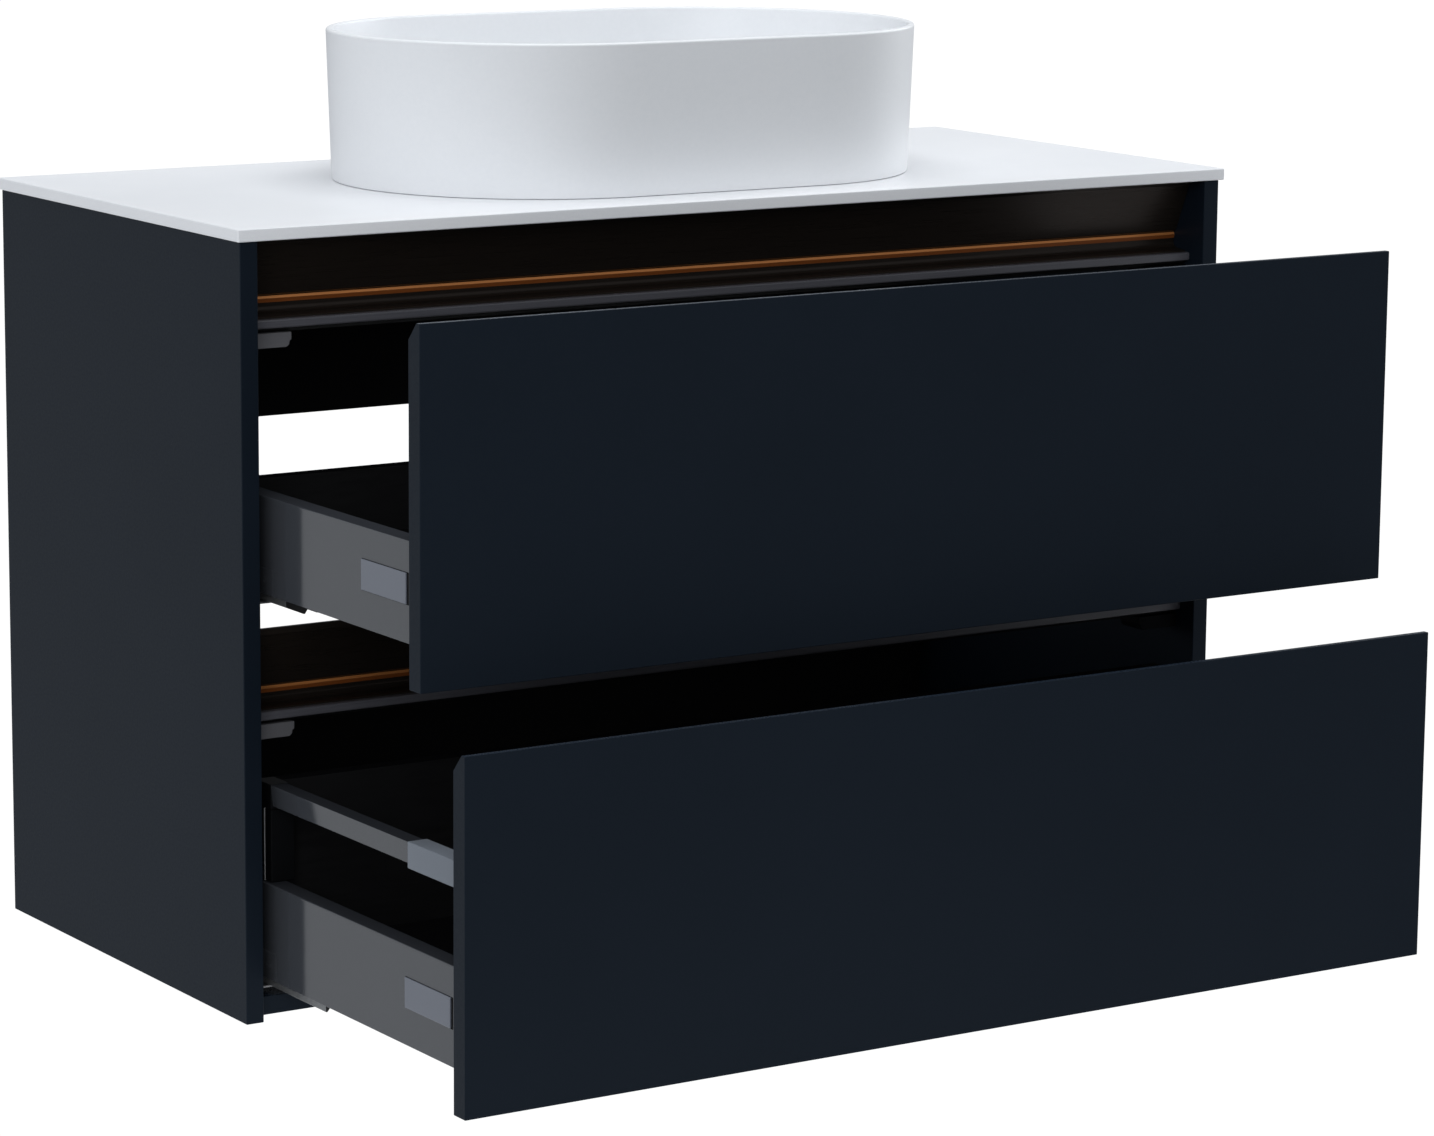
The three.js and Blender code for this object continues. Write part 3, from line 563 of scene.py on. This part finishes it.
def make_hanger(node):
    """A cast hanger block with its hook reaching back, and its two adjusting screws in front."""
    lo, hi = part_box(node)
    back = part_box("hanging_rail")[0].y - HANGER_GAP
    hook_low, hook_high = TOP_Z - HOOK_BELOW_TOP, TOP_Z - HOOK_TOP_BELOW_TOP
    r = HANGER_R
    corners = [
        (lo.y, lo.z, 2 * r), (back, lo.z, r), (back, hook_low, 0),
        (hi.y - HOOK_T, hook_low, 0.5 * r), (hi.y - HOOK_T, hook_low - HOOK_LIP, 0.5 * r),
        (hi.y, hook_low - HOOK_LIP, 0.5 * r), (hi.y, hook_high, r),
        (back, hook_high, 0), (back, hi.z, r), (lo.y, hi.z, 2 * r),
    ]
    bm = bmesh.new()
    prism(bm, "yz", rounded(corners), lo.x, hi.x, ease=0.8 * MM)
    stand_in(node, bm)
    bm = bmesh.new()
    middle = (lo.x + hi.x) / 2
    for offset, share in HANGER_SCREWS:
        place = (middle + offset, lo.y + SUNK, lo.z + share * (hi.z - lo.z))
        screw(bm, place, (0, -1, 0), HANGER_SCREW_R)
    detail(node + "_screws", bm, "zinc_steel", "cabinet")


# ---------------------------------------------------------------- grip channels

# Corners of each section: depth behind the cabinet front, drop below the recess's top, and radius, in mm.
CHANNEL_FACE = (
    (20, 3, 0.6), (22.4, 5.8, 1.2), (40.2, 49, 2.0), (43.3, 50.5, 0.3), (44.7, 50.5, 0.2),
    (44.7, 54.1, 0.2), (43.3, 54.1, 0.3), (43.3, 64, 6.9), (26, 66, 0.35), (26, 75.0, 0.2),
    (43.3, 75.0, 0.2), (47.4, 74.8, 0.2), (47.4, 49, 0.6), (42, 47.2, 0.6), (24.2, 4.8, 0.6),
)
LIP_SECTION = ((25.9, 67.3, 0.3), (19.6, 67.3, 1.6), (19.6, 74.7, 1.6), (25.9, 74.8, 0.3))
KEEL_SECTION = ((22.4, 75.1, 0.3), (31, 79.0, 1.0), (43.3, 78.8, 1.0), (47.3, 75.1, 0.4))
STRIP_SECTION = ((44.5, 50.9, 0.1), (43.1, 50.9, 0.3), (42.1, 53.1, 0.2), (44.5, 53.1, 0.1))
STRIP_FOOT_SECTION = (
    (44.5, 53.2, 0.1), (42.15, 53.2, 0.2), (42.9, 56.4, 0.3), (43.25, 56.4, 0.1),
    (43.25, 53.9, 0.1), (44.5, 53.9, 0.1),
)
FLANGE_FRONT, FLANGE_BACK = 20, 24.2  # depths of the flange under the recess's top, in mm
LIP_CAP_L = 3 * MM


def section_piece(node, level, section, spans, ease, **named):
    """A piece for the node: a section run along x from start to end of each span."""
    top = RECESS_TOP[level]
    outline = rounded([(FRONT_Y + depth * MM, top - drop * MM, r * MM) for depth, drop, r in section], 6)
    bm = bmesh.new()
    for start, end in spans:
        prism(bm, "yz", outline, start, end, ease)
    stand_in(node, bm, **named)


def make_channel(level):
    """A channel with its aluminium lip, rubber keel and copper strip, whose lower band is darker copper as
    painted shade, and its clips, those on the right near black as painted shade.
    """
    node = "grip_channel_" + level
    strip = "accent_strip_" + level
    lo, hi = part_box(node)
    drop = (RECESS_TOP[level] - hi.z) / MM
    face = ((FLANGE_BACK, drop, 0.4), (FLANGE_FRONT, drop, 0.5)) + CHANNEL_FACE
    whole = [(lo.x, hi.x)]
    lip = [(lo.x + LIP_CAP_L, hi.x - LIP_CAP_L)]
    lip_ends = [(lo.x, lo.x + LIP_CAP_L), (hi.x - LIP_CAP_L, hi.x)]
    section_piece(node, level, face, whole, ease=0.15 * MM)
    section_piece(node, level, LIP_SECTION, lip, ease=0.1 * MM, part="lip", look="lip_aluminium")
    section_piece(node, level, LIP_SECTION, lip_ends, ease=0.28 * MM, part="lip_ends", look="lip_aluminium")
    section_piece(node, level, KEEL_SECTION, whole, ease=0.2 * MM, part="keel", look="black_rubber")
    section_piece(strip, level, STRIP_SECTION, whole, ease=0.05 * MM)
    # The lower band is darker copper: painted shade.
    section_piece(strip, level, STRIP_FOOT_SECTION, whole, ease=0.05 * MM, part="foot", look="painted_shade_copper")
    for side, sign in SIDES:
        make_clip("channel_clip_{}_{}".format(level, side), sign)


CLIP_LOOK = {-1: "grey_plastic", 1: "painted_shade_plastic"}  # the clips on the right are shown near black as painted shade
CLIP_EDGE_R = 0.5 * MM
CLIP_LEDGE = 6.5 * MM  # height of the upper ledge at its tip
CLIP_LEDGE_ROOT = 7 * MM  # height of the ledge where it meets the face below
CLIP_BACK_HIGH = 1.6 * MM  # how far the face below stands back at its top
CLIP_BACK_LOW = 2.2 * MM  # how far it stands back at its foot
CLIP_HEEL = 3.5 * MM  # height of that foot over the node's lowest point
CLIP_HEEL_R = 1.2 * MM
CLIP_TOE = 1.5 * MM  # height of the clip's underside over the node's lowest point
CLIP_TOE_IN = 4.5 * MM
CLIP_TOE_R = 1.5 * MM
CLIP_SCREW_IN = 14 * MM
CLIP_SCREW_R = 3.2 * MM


def make_clip(node, sign):
    """A moulded clip with a stepped end, and the screw in its underside."""
    outer, inner, (front, back), (low, high) = mirrored(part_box(node), sign)
    toe = low + CLIP_TOE
    corners = [
        (outer, high, CLIP_EDGE_R), (inner, high, CLIP_EDGE_R), (inner, high - CLIP_LEDGE, CLIP_EDGE_R),
        (inner + sign * CLIP_BACK_HIGH, high - CLIP_LEDGE_ROOT, CLIP_EDGE_R),
        (inner + sign * CLIP_BACK_LOW, low + CLIP_HEEL, CLIP_HEEL_R),
        (inner + sign * CLIP_TOE_IN, toe, CLIP_TOE_R), (outer, toe, CLIP_EDGE_R),
    ]
    bm = bmesh.new()
    prism(bm, "xz", rounded(corners, 5), front, back, ease=0.45 * MM)
    stand_in(node, bm, look=CLIP_LOOK[sign])
    bm = bmesh.new()
    screw(bm, (outer - sign * CLIP_SCREW_IN, (front + back) / 2, toe + SUNK), (0, 0, -1), CLIP_SCREW_R)
    detail(node + "_screw", bm, "zinc_steel", "cabinet")


# ---------------------------------------------------------------- countertop and basin

BASIN_LOW, BASIN_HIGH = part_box("basin")
BASIN_CENTRE = (BASIN_LOW + BASIN_HIGH) / 2
BASIN_Z = BASIN_LOW.z
OUTLET = (BASIN_CENTRE.x, BASIN_CENTRE.y, 0)  # the waste's upright axis
RIM_R = (BASIN_HIGH.y - BASIN_LOW.y) / 2
STRAIGHT = (BASIN_HIGH.x - BASIN_LOW.x) - 2 * RIM_R
BASIN_H = BASIN_HIGH.z - BASIN_LOW.z
TAPER = 4.5 * MM
WALL = 6 * MM
FOOT_R = RIM_R - TAPER
FOOT_RING = 8.5 * MM  # width of the ring that the basin stands on
UNDERCUT = 1.5 * MM  # height of the underside within that ring
UNDERCUT_R = FOOT_R - FOOT_RING - UNDERCUT
INNER_R = RIM_R - WALL
INNER_FOOT_R = FOOT_R - WALL - 2 * MM
RIM_EDGE_R = 2.2 * MM
FOOT_EDGE_R = 1.2 * MM
COVE_R = 46 * MM
COVE_SWEEP = -87  # degrees; it stops just short of level, where the floor's fall begins
FLOOR_EDGE = 16 * MM  # height of the bowl's floor below the cove's centre
FLOOR_LOW = 14.1 * MM  # height of the bowl's floor at the seat's rounded edge
SEAT_EDGE = ((1.5 * MM, 0), (0.5 * MM, 0.25 * MM), (0, 0.9 * MM))  # the seat's rounded edge: out, down
SEAT_H = 11 * MM  # height of the recess for the waste flange
SEAT_R = 32.5 * MM
HOLE_R = 22.5 * MM
ARC_STEPS = 56
RUN_STEPS = 10
WALL_STEPS = 6
INNER_STEPS = 5
COVE_STEPS = 14
FLOOR_STEPS = 8
BASIN_CREASE = 50


def stadium(radius, height):
    """A stadium-shaped ring about the basin's centre, counted from the front right."""
    ring = []
    half = STRAIGHT / 2
    for sign in (1, -1):
        for k in range(ARC_STEPS + 1):
            turn = math.pi * (k / ARC_STEPS - 0.5 * sign)
            ring.append(Vector((sign * half + radius * math.cos(turn), radius * math.sin(turn), height)))
        for k in range(1, RUN_STEPS):
            ring.append(Vector((sign * half * (1 - 2 * k / RUN_STEPS), sign * radius, height)))
    return ring


def circle_like(ring, radius, height):
    """A circle whose points lie in the same directions as the ring's."""
    return [Vector((p.x, p.y, 0)).normalized() * radius + Vector((0, 0, height)) for p in ring]


def blended(one, other, share, height):
    """A ring part of the way from one ring to another, at a height."""
    return [Vector((*p.lerp(q, share).xy, height)) for p, q in zip(one, other)]


def arc(centre, radius, start, end, steps):
    """Points (r, h) on an arc, its angles in degrees."""
    turns = [math.radians(start + (end - start) * k / steps) for k in range(steps + 1)]
    return [(centre[0] + radius * math.cos(t), centre[1] + radius * math.sin(t)) for t in turns]


def between(start, end, steps):
    """The points (r, h) that part a straight stretch into equal steps, without its ends."""
    shares = [k / steps for k in range(1, steps)]
    return [tuple(a + (b - a) * share for a, b in zip(start, end)) for share in shares]


def basin_rings():
    """The rings of the basin's skin: up the outside, over the rim, down to the seat and back below."""
    wall_top = BASIN_H - RIM_EDGE_R
    cove_top = FLOOR_EDGE + COVE_R
    profile = [(UNDERCUT_R, UNDERCUT), (FOOT_R - FOOT_RING, 0)]
    profile += arc((FOOT_R - FOOT_EDGE_R, FOOT_EDGE_R), FOOT_EDGE_R, -90, 0, 4)
    profile += between((FOOT_R, FOOT_EDGE_R), (RIM_R, wall_top), WALL_STEPS)
    profile += arc((RIM_R - RIM_EDGE_R, wall_top), RIM_EDGE_R, 0, 90, 5)
    profile += arc((INNER_R + RIM_EDGE_R, wall_top), RIM_EDGE_R, 90, 180, 5)
    profile += between((INNER_R, wall_top), (INNER_FOOT_R, cove_top), INNER_STEPS)
    profile += arc((INNER_FOOT_R - COVE_R, cove_top), COVE_R, 0, COVE_SWEEP, COVE_STEPS)
    rings = [stadium(r, h) for r, h in profile]
    last = rings[-1]
    seat_edge = circle_like(last, SEAT_R + SEAT_EDGE[0][0], 0)
    floor_high = last[0].z
    for k in range(1, FLOOR_STEPS + 1):
        share = k / FLOOR_STEPS
        fall = math.sin(share * math.pi / 2)
        rings.append(blended(last, seat_edge, share, floor_high + (FLOOR_LOW - floor_high) * fall))
    seat = [(SEAT_R + out, FLOOR_LOW - down) for out, down in SEAT_EDGE[1:]]
    seat += [(SEAT_R, SEAT_H), (HOLE_R, SEAT_H), (HOLE_R, UNDERCUT)]
    rings += [circle_like(last, r, h) for r, h in seat]
    rings.append(blended(circle_like(last, HOLE_R, 0), stadium(UNDERCUT_R, 0), 0.5, UNDERCUT))
    return rings


def make_basin():
    centre = Vector((BASIN_CENTRE.x, BASIN_CENTRE.y, BASIN_Z))
    bm = bmesh.new()
    skin(bm, [[centre + p for p in ring] for ring in basin_rings()], closed=True)
    stand_in("basin", bm, crease=BASIN_CREASE)


def make_countertop():
    lo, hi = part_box("countertop")
    bm = bmesh.new()
    slab(bm, lo, hi, ease=1.2 * MM, steps=4)
    stand_in("countertop", bm, [drill("countertop_drill", OUTLET, HOLE_R, lo.z, hi.z)])


# ---------------------------------------------------------------- waste

TUBE_R = 19.5 * MM
BORE_R = 16 * MM
THREAD_PITCH = 2 * MM
THREAD_DEPTH = 0.7 * MM
THREAD_START = 2 * MM  # over the tube's lower end
THREAD_STOP = 20 * MM  # below the flange
FLANGE_LOW_Z = BASIN_Z + SEAT_H + 0.3 * MM  # just clear of the basin's seat
FLANGE_EDGE_R = 1 * MM
FLANGE_CHAMFER = 0.6 * MM
MOUTH_R = 2 * MM
BAR_TOP = FLANGE_LOW_Z - 14 * MM
BAR_H = 8 * MM
BAR_W = 12 * MM
BAR_HOLE_R = 4.4 * MM
GASKET_BORE_R = 19.8 * MM
GASKET_EDGE_R = 0.8 * MM


def make_waste():
    make_waste_body()
    make_cross_bar()
    make_plug()
    make_gasket()
    make_nut()


def make_waste_body():
    """The waste's tube, its thread made as rings, and the flange that lies in the basin's seat."""
    lo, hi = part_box("waste_body")
    root_r, flange_r = TUBE_R - THREAD_DEPTH, (hi.x - lo.x) / 2
    profile = [(BORE_R, lo.z), (root_r, lo.z)]
    height = lo.z + THREAD_START
    while height < FLANGE_LOW_Z - THREAD_STOP:
        profile += [(root_r, height), (TUBE_R, height + THREAD_PITCH / 2)]
        height += THREAD_PITCH
    profile += [(root_r, height), (root_r, FLANGE_LOW_Z), (flange_r - FLANGE_CHAMFER, FLANGE_LOW_Z)]
    profile += arc((flange_r - FLANGE_EDGE_R, hi.z - FLANGE_EDGE_R), FLANGE_EDGE_R, -40, 90, 6)
    profile += arc((BORE_R + MOUTH_R, hi.z - MOUTH_R), MOUTH_R, 90, 180, 6)
    bm = bmesh.new()
    turned(bm, profile, OUTLET, closed=True)
    stand_in("waste_body", bm)


def make_cross_bar():
    """The bar across the tube that guides the plug's stem, its ends sunk in the tube's wall."""
    reach, y = (TUBE_R + BORE_R) / 2, BASIN_CENTRE.y
    bm = bmesh.new()
    slab(bm, (-reach, y - BAR_W / 2, BAR_TOP - BAR_H), (reach, y + BAR_W / 2, BAR_TOP), ease=1 * MM)
    hole = drill("waste_bar_drill", OUTLET, BAR_HOLE_R, BAR_TOP - BAR_H, BAR_TOP, segments=32)
    dress(carve(solid("waste_cross_bar", bm), hole), "chrome", "cabinet")


def make_gasket():
    lo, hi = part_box("waste_gasket")
    edge, e = (hi.x - lo.x) / 2 - GASKET_EDGE_R, GASKET_EDGE_R
    profile = [(GASKET_BORE_R, lo.z)]
    profile += arc((edge, lo.z + e), e, -90, 0, 4)
    profile += arc((edge, hi.z - e), e, 0, 90, 4)
    profile.append((GASKET_BORE_R, hi.z))
    bm = bmesh.new()
    turned(bm, profile, OUTLET, closed=True)
    stand_in("waste_gasket", bm)


STEM_R = 4 * MM
STEM_CHAMFER = 0.6 * MM
PLUG_CAP_H = 5.5 * MM
PLUG_DOME_H = 3.3 * MM
PLUG_DOME_STEPS = 8
PLUG_EDGE_R = 1.2 * MM
# Under the cap, the plug's outline from the stem to the cap: radius, and drop below the cap.
PLUG_NECK = ((STEM_R, 2 * MM), (12 * MM, 0.4 * MM), (15 * MM, 0))
SEAL_R = 15.2 * MM
SEAL_T = 0.9 * MM
SEAL_DROP = 1 * MM


def make_plug():
    """The plug's domed cap and stem, with a rubber seal under the cap."""
    lo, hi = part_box("waste_plug")
    cap_low = hi.z - PLUG_CAP_H
    edge = (hi.x - lo.x) / 2 - PLUG_EDGE_R
    profile = [(0, lo.z), (STEM_R - STEM_CHAMFER, lo.z), (STEM_R, lo.z + STEM_CHAMFER)]
    profile += [(radius, cap_low - drop) for radius, drop in PLUG_NECK]
    profile += arc((edge, cap_low + PLUG_EDGE_R), PLUG_EDGE_R, -90, 60, 6)
    for k in range(1, PLUG_DOME_STEPS + 1):
        share = k / PLUG_DOME_STEPS
        rise = math.sin(share * math.pi / 2)
        profile.append((edge * (1 - share), hi.z - PLUG_DOME_H * (1 - rise)))
    bm = bmesh.new()
    turned(bm, profile, OUTLET)
    stand_in("waste_plug", bm)
    bm = bmesh.new()
    seal = arc((SEAL_R, cap_low - SEAL_DROP), SEAL_T, 0, 330, 11)
    turned(bm, seal, OUTLET, segments=48, closed=True)
    detail("waste_plug_seal", bm, "black_rubber", "plug")


NUT_RIBS = 12
NUT_GROOVE = 2.4 * MM
NUT_CORNER_R = 0.7 * MM
NUT_BORE_R = 20.1 * MM


def make_nut():
    """A moulded nut with grip ribs round its edge; its ease is less than its corners' radius."""
    lo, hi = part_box("waste_nut")
    outer = (hi.x - lo.x) / 2
    corners = []
    for k in range(4 * NUT_RIBS):
        turn = 2 * math.pi * (k - 0.5) / (4 * NUT_RIBS)
        radius = outer if k % 4 < 2 else outer - NUT_GROOVE
        corners.append((radius * math.cos(turn), BASIN_CENTRE.y + radius * math.sin(turn), NUT_CORNER_R))
    bm = bmesh.new()
    prism(bm, "xy", rounded(corners, 3), lo.z, hi.z, ease=0.35 * MM)
    stand_in("waste_nut", bm, [drill("waste_nut_drill", OUTLET, NUT_BORE_R, lo.z, hi.z)])


# ---------------------------------------------------------------- drawers

BEVEL_FLAT = 5.5 * MM
BEVEL_DROP = 14 * MM
FRONT_EDGE_R = 0.7 * MM


def make_front(level):
    """A drawer front with a bevel at the back of its top edge."""
    node = level + "_front"
    lo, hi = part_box(node)
    outline = [
        (lo.y, lo.z), (lo.y, hi.z), (lo.y + BEVEL_FLAT, hi.z),
        (hi.y, hi.z - BEVEL_DROP), (hi.y, lo.z),
    ]
    bm = bmesh.new()
    prism(bm, "yz", rounded([(*p, FRONT_EDGE_R) for p in outline]), lo.x, hi.x, FRONT_EDGE_R)
    stand_in(node, bm)


SIDE_T = 18 * MM
SHEET = 1.25 * MM
FLANGE_LOW = 9.8 * MM  # height of the inward flange over the side's lower edge
FLANGE_REACH = 12 * MM
BEND_R = 1.7 * MM
INNER_BEND_R = 0.45 * MM
FLANGE_TOE_R = 0.3 * MM
SIDE_FOOT_R = 0.2 * MM
SLOT_L = 3.3 * MM  # dark slot left between the cover plate and the window's front end; its darkness is painted shade
SLOT_BACK = 0.1 * MM
WINDOW_GAP = 0.5 * MM
WINDOW_DEPTH = 0.9 * SHEET  # leaves a thin skin behind the window
SHADE_SHEET_X = (1.1 * MM, 0.5 * MM)  # how deep the two faces of the black sheet that paints the slot's shade lie
SHADE_SHEET_GAP = 0.05 * MM
PLATE_SUNK = 0.4 * MM


def make_side(level, side, sign):
    """A folded steel side with a window for its cover plate, the plate, and a black sheet behind it that
    paints the shade of the slot.
    """
    node = "{}_side_{}".format(level, side)
    plate = "{}_cover_plate_{}".format(level, side)
    lo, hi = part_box(node)
    plate_lo, plate_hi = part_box(plate)
    outer = hi.x if sign > 0 else lo.x
    inner = outer - sign * SIDE_T
    s = SHEET
    flange = lo.z + FLANGE_LOW
    toe = inner - sign * FLANGE_REACH
    corners = [
        (outer, lo.z, SIDE_FOOT_R), (outer, hi.z, BEND_R), (inner, hi.z, BEND_R),
        (inner, flange + s, INNER_BEND_R), (toe, flange + s, FLANGE_TOE_R), (toe, flange, FLANGE_TOE_R),
        (inner + sign * s, flange, BEND_R), (inner + sign * s, hi.z - s, INNER_BEND_R),
        (outer - sign * s, hi.z - s, INNER_BEND_R), (outer - sign * s, lo.z, SIDE_FOOT_R),
    ]
    bm = bmesh.new()
    prism(bm, "xz", rounded(corners, 5), lo.y, hi.y, ease=0.15 * MM)
    x_low, x_high = sorted((outer - sign * WINDOW_DEPTH, outer + sign * s))
    low = Vector((0, plate_lo.y - SLOT_L, plate_lo.z - WINDOW_GAP))
    high = Vector((0, plate_hi.y + SLOT_BACK, plate_hi.z + WINDOW_GAP))
    tool = bmesh.new()
    slab(tool, (x_low, *low.yz), (x_high, *high.yz), ease=0.15 * MM)
    stand_in(node, bm, [solid(node + "_window", tool)])
    # A black sheet in the window: painted shade for the slot.
    gap = Vector((0, SHADE_SHEET_GAP, SHADE_SHEET_GAP))
    x_low, x_high = sorted(outer - sign * depth for depth in SHADE_SHEET_X)
    bm = bmesh.new()
    slab(bm, (x_low, *(low + gap).yz), (x_high, *(high - gap).yz), ease=0.1 * MM)
    detail("{}_cover_shade_sheet_{}".format(level, side), bm, "black_rubber", BODY_OF[node])
    x_low, x_high = sorted((outer - sign * PLATE_SUNK, plate_hi.x if sign > 0 else plate_lo.x))
    bm = bmesh.new()
    slab(bm, (x_low, *plate_lo.yz), (x_high, *plate_hi.yz), ease=0.35 * MM)
    stand_in(plate, bm, look="cover_steel")


RAIL_LEAN = 1.7 * MM
RAIL_EDGE_R = 0.5 * MM
CAP_MARGIN = Vector((0.3, 0, 0.4)) * MM
CAP_SLEEVE = Vector((0, 24, 0)) * MM  # how far the rail's cap reaches back over the rail
HOLDER_EDGE_IN = 0.8 * MM
HOLDER_EDGE_OUT = 0.3 * MM
HOLDER_EDGE_L = 1.2 * MM
HOLDER_EDGE_BACK = 0.1 * MM


def make_rail(side, sign):
    """The lower drawer's rail with its cap, socket and back holder, the socket and holder near black as
    painted shade, and the holder's steel edge, lightened as a painted highlight.
    """
    rail = "lower_rail_" + side
    cap = "lower_rail_cap_" + side
    holder = "lower_back_holder_" + side
    outer, inner, (front, back), (low, high) = mirrored(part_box(rail), sign)
    outline = [(outer, high), (outer - sign * RAIL_LEAN, low), (inner, low), (inner, high)]
    bm = bmesh.new()
    prism(bm, "xz", rounded([(*p, RAIL_EDGE_R) for p in outline]), front, back, ease=0.1 * MM)
    stand_in(rail, bm)
    lo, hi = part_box(cap)
    bm = bmesh.new()
    slab(bm, lo - CAP_MARGIN, hi + CAP_MARGIN + CAP_SLEEVE, ease=0.9 * MM)
    stand_in(cap, bm)
    # The socket and the back holder are near black: painted shade.
    board("lower_rail_socket_" + side, ease=0.9 * MM, look="painted_shade_plastic")
    board(holder, ease=1.0 * MM, look="painted_shade_plastic")
    outer, _, (_, back), (low, high) = mirrored(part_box(holder), sign)
    # A real steel edge, shown lighter than steel as a painted highlight.
    left, right = sorted((outer - sign * HOLDER_EDGE_IN, outer + sign * HOLDER_EDGE_OUT))
    bm = bmesh.new()
    slab(bm, (left, back - HOLDER_EDGE_L, low), (right, back + HOLDER_EDGE_BACK, high), ease=0.2 * MM)
    detail(holder + "_edge", bm, "zinc_steel", BODY_OF[holder], "edge_painted_highlight")


def make_drawer(level):
    make_front(level)
    board(level + "_base", ease=0.4 * MM)
    board(level + "_back", ease=0.4 * MM)
    for side, sign in SIDES:
        make_side(level, side, sign)
        board("{}_front_bracket_{}".format(level, side), ease=1.2 * MM)
        make_cabinet_member(level, side, sign)
        make_middle_member(level, side, sign)
        if level == "lower":
            make_rail(side, sign)


# ---------------------------------------------------------------- runners

RUNNER_SHEET = 1.5 * MM
RUNNER_EDGE_R = 0.3 * MM
RIB_IN = 18.8 * MM  # from the side panel to the upright rib
RIB_T = 3 * MM
RIB_DROP = 17 * MM
CABINET_BEND_R = 1.2 * MM
CABINET_EDGE_R = 0.4 * MM
CABINET_SCREWS = (12 * MM, 108 * MM, 204 * MM, 300 * MM)  # from the runner's front end
CABINET_SCREW_RISE = 3 * MM
CABINET_SCREW_R = 4 * MM


def make_cabinet_member(level, side, sign):
    """An angle with an upright rib, and the screws that hold it to the side panel."""
    node = "{}_runner_cabinet_{}".format(level, side)
    wall, foot, (front, back), (low, high) = mirrored(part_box(node), sign)
    s, e = RUNNER_SHEET, CABINET_EDGE_R
    rib = wall - sign * RIB_IN
    rib_inner = rib - sign * RIB_T
    rib_top = high - RIB_DROP
    corners = [
        (wall, low, CABINET_BEND_R), (wall, high, e), (wall - sign * s, high, e),
        (wall - sign * s, low + s, 1.5 * e), (rib, low + s, e), (rib, rib_top, 2 * e),
        (rib_inner, rib_top, 2 * e), (rib_inner, low + s, e), (foot, low + s, e), (foot, low, e),
    ]
    bm = bmesh.new()
    prism(bm, "xz", rounded(corners), front, back, ease=0.2 * MM)
    stand_in(node, bm)
    bm = bmesh.new()
    for along in CABINET_SCREWS:
        place = (wall - sign * (s - SUNK), front + along, (low + high) / 2 + CABINET_SCREW_RISE)
        screw(bm, place, (-sign, 0, 0), CABINET_SCREW_R)
    detail(node + "_screws", bm, "zinc_steel", "cabinet")


MIDDLE_BEND_R = 1.4 * MM
NOSE_SLANT = 8 * MM
NOSE_REACH = {"upper": 38 * MM, "lower": 8 * MM}  # length of the dark nose along the runner; the upper one's longer black run is painted shade
WEDGE_PAST = 2 * MM
RIVETS = (18 * MM, 90 * MM, 180 * MM, 262 * MM)  # from the runner's front end
RIVET_RISE = 1 * MM
RIVET_R = 2.4 * MM


def make_middle_member(level, side, sign):
    """An inverted zinc channel with rivets, whose dark front end slants up from its lower edge."""
    node = "{}_runner_middle_{}".format(level, side)
    outer, inner, (front, back), (low, high) = mirrored(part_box(node), sign)
    s, e = RUNNER_SHEET, RUNNER_EDGE_R
    corners = [
        (outer, low, e), (outer, high, MIDDLE_BEND_R), (inner, high, MIDDLE_BEND_R), (inner, low, e),
        (inner + sign * s, low, e), (inner + sign * s, high - s, e),
        (outer - sign * s, high - s, e), (outer - sign * s, low, e),
    ]
    # On the upper runner the black reaches farther: painted shade.
    nose_end = front + NOSE_REACH[level]
    bm = bmesh.new()
    prism(bm, "xz", rounded(corners), nose_end, back, ease=0.15 * MM)
    stand_in(node, bm)
    bm = bmesh.new()
    prism(bm, "xz", rounded(corners), front, nose_end, ease=0.15 * MM)
    past = WEDGE_PAST
    wedge = [
        Vector((front - past, low - past)), Vector((front + NOSE_SLANT + past, low - past)),
        Vector((front - past, low + NOSE_SLANT + past)),
    ]
    tool = bmesh.new()
    prism(tool, "yz", wedge, *sorted((outer + sign * past, inner - sign * past)))
    nose = carve(solid(node + "_nose", bm), solid(node + "_wedge", tool))
    dress(nose, "black_rubber", BODY_OF[node])
    bm = bmesh.new()
    for along in RIVETS:
        screw(bm, (outer, front + along, (low + high) / 2 + RIVET_RISE), (sign, 0, 0), RIVET_R)
    detail(node + "_rivets", bm, "zinc_steel", BODY_OF[node])


# ---------------------------------------------------------------- run

make_studio()
make_finishes()
make_carcass()
make_countertop()
make_basin()
make_waste()
for level in LEVELS:
    make_channel(level)
    make_drawer(level)
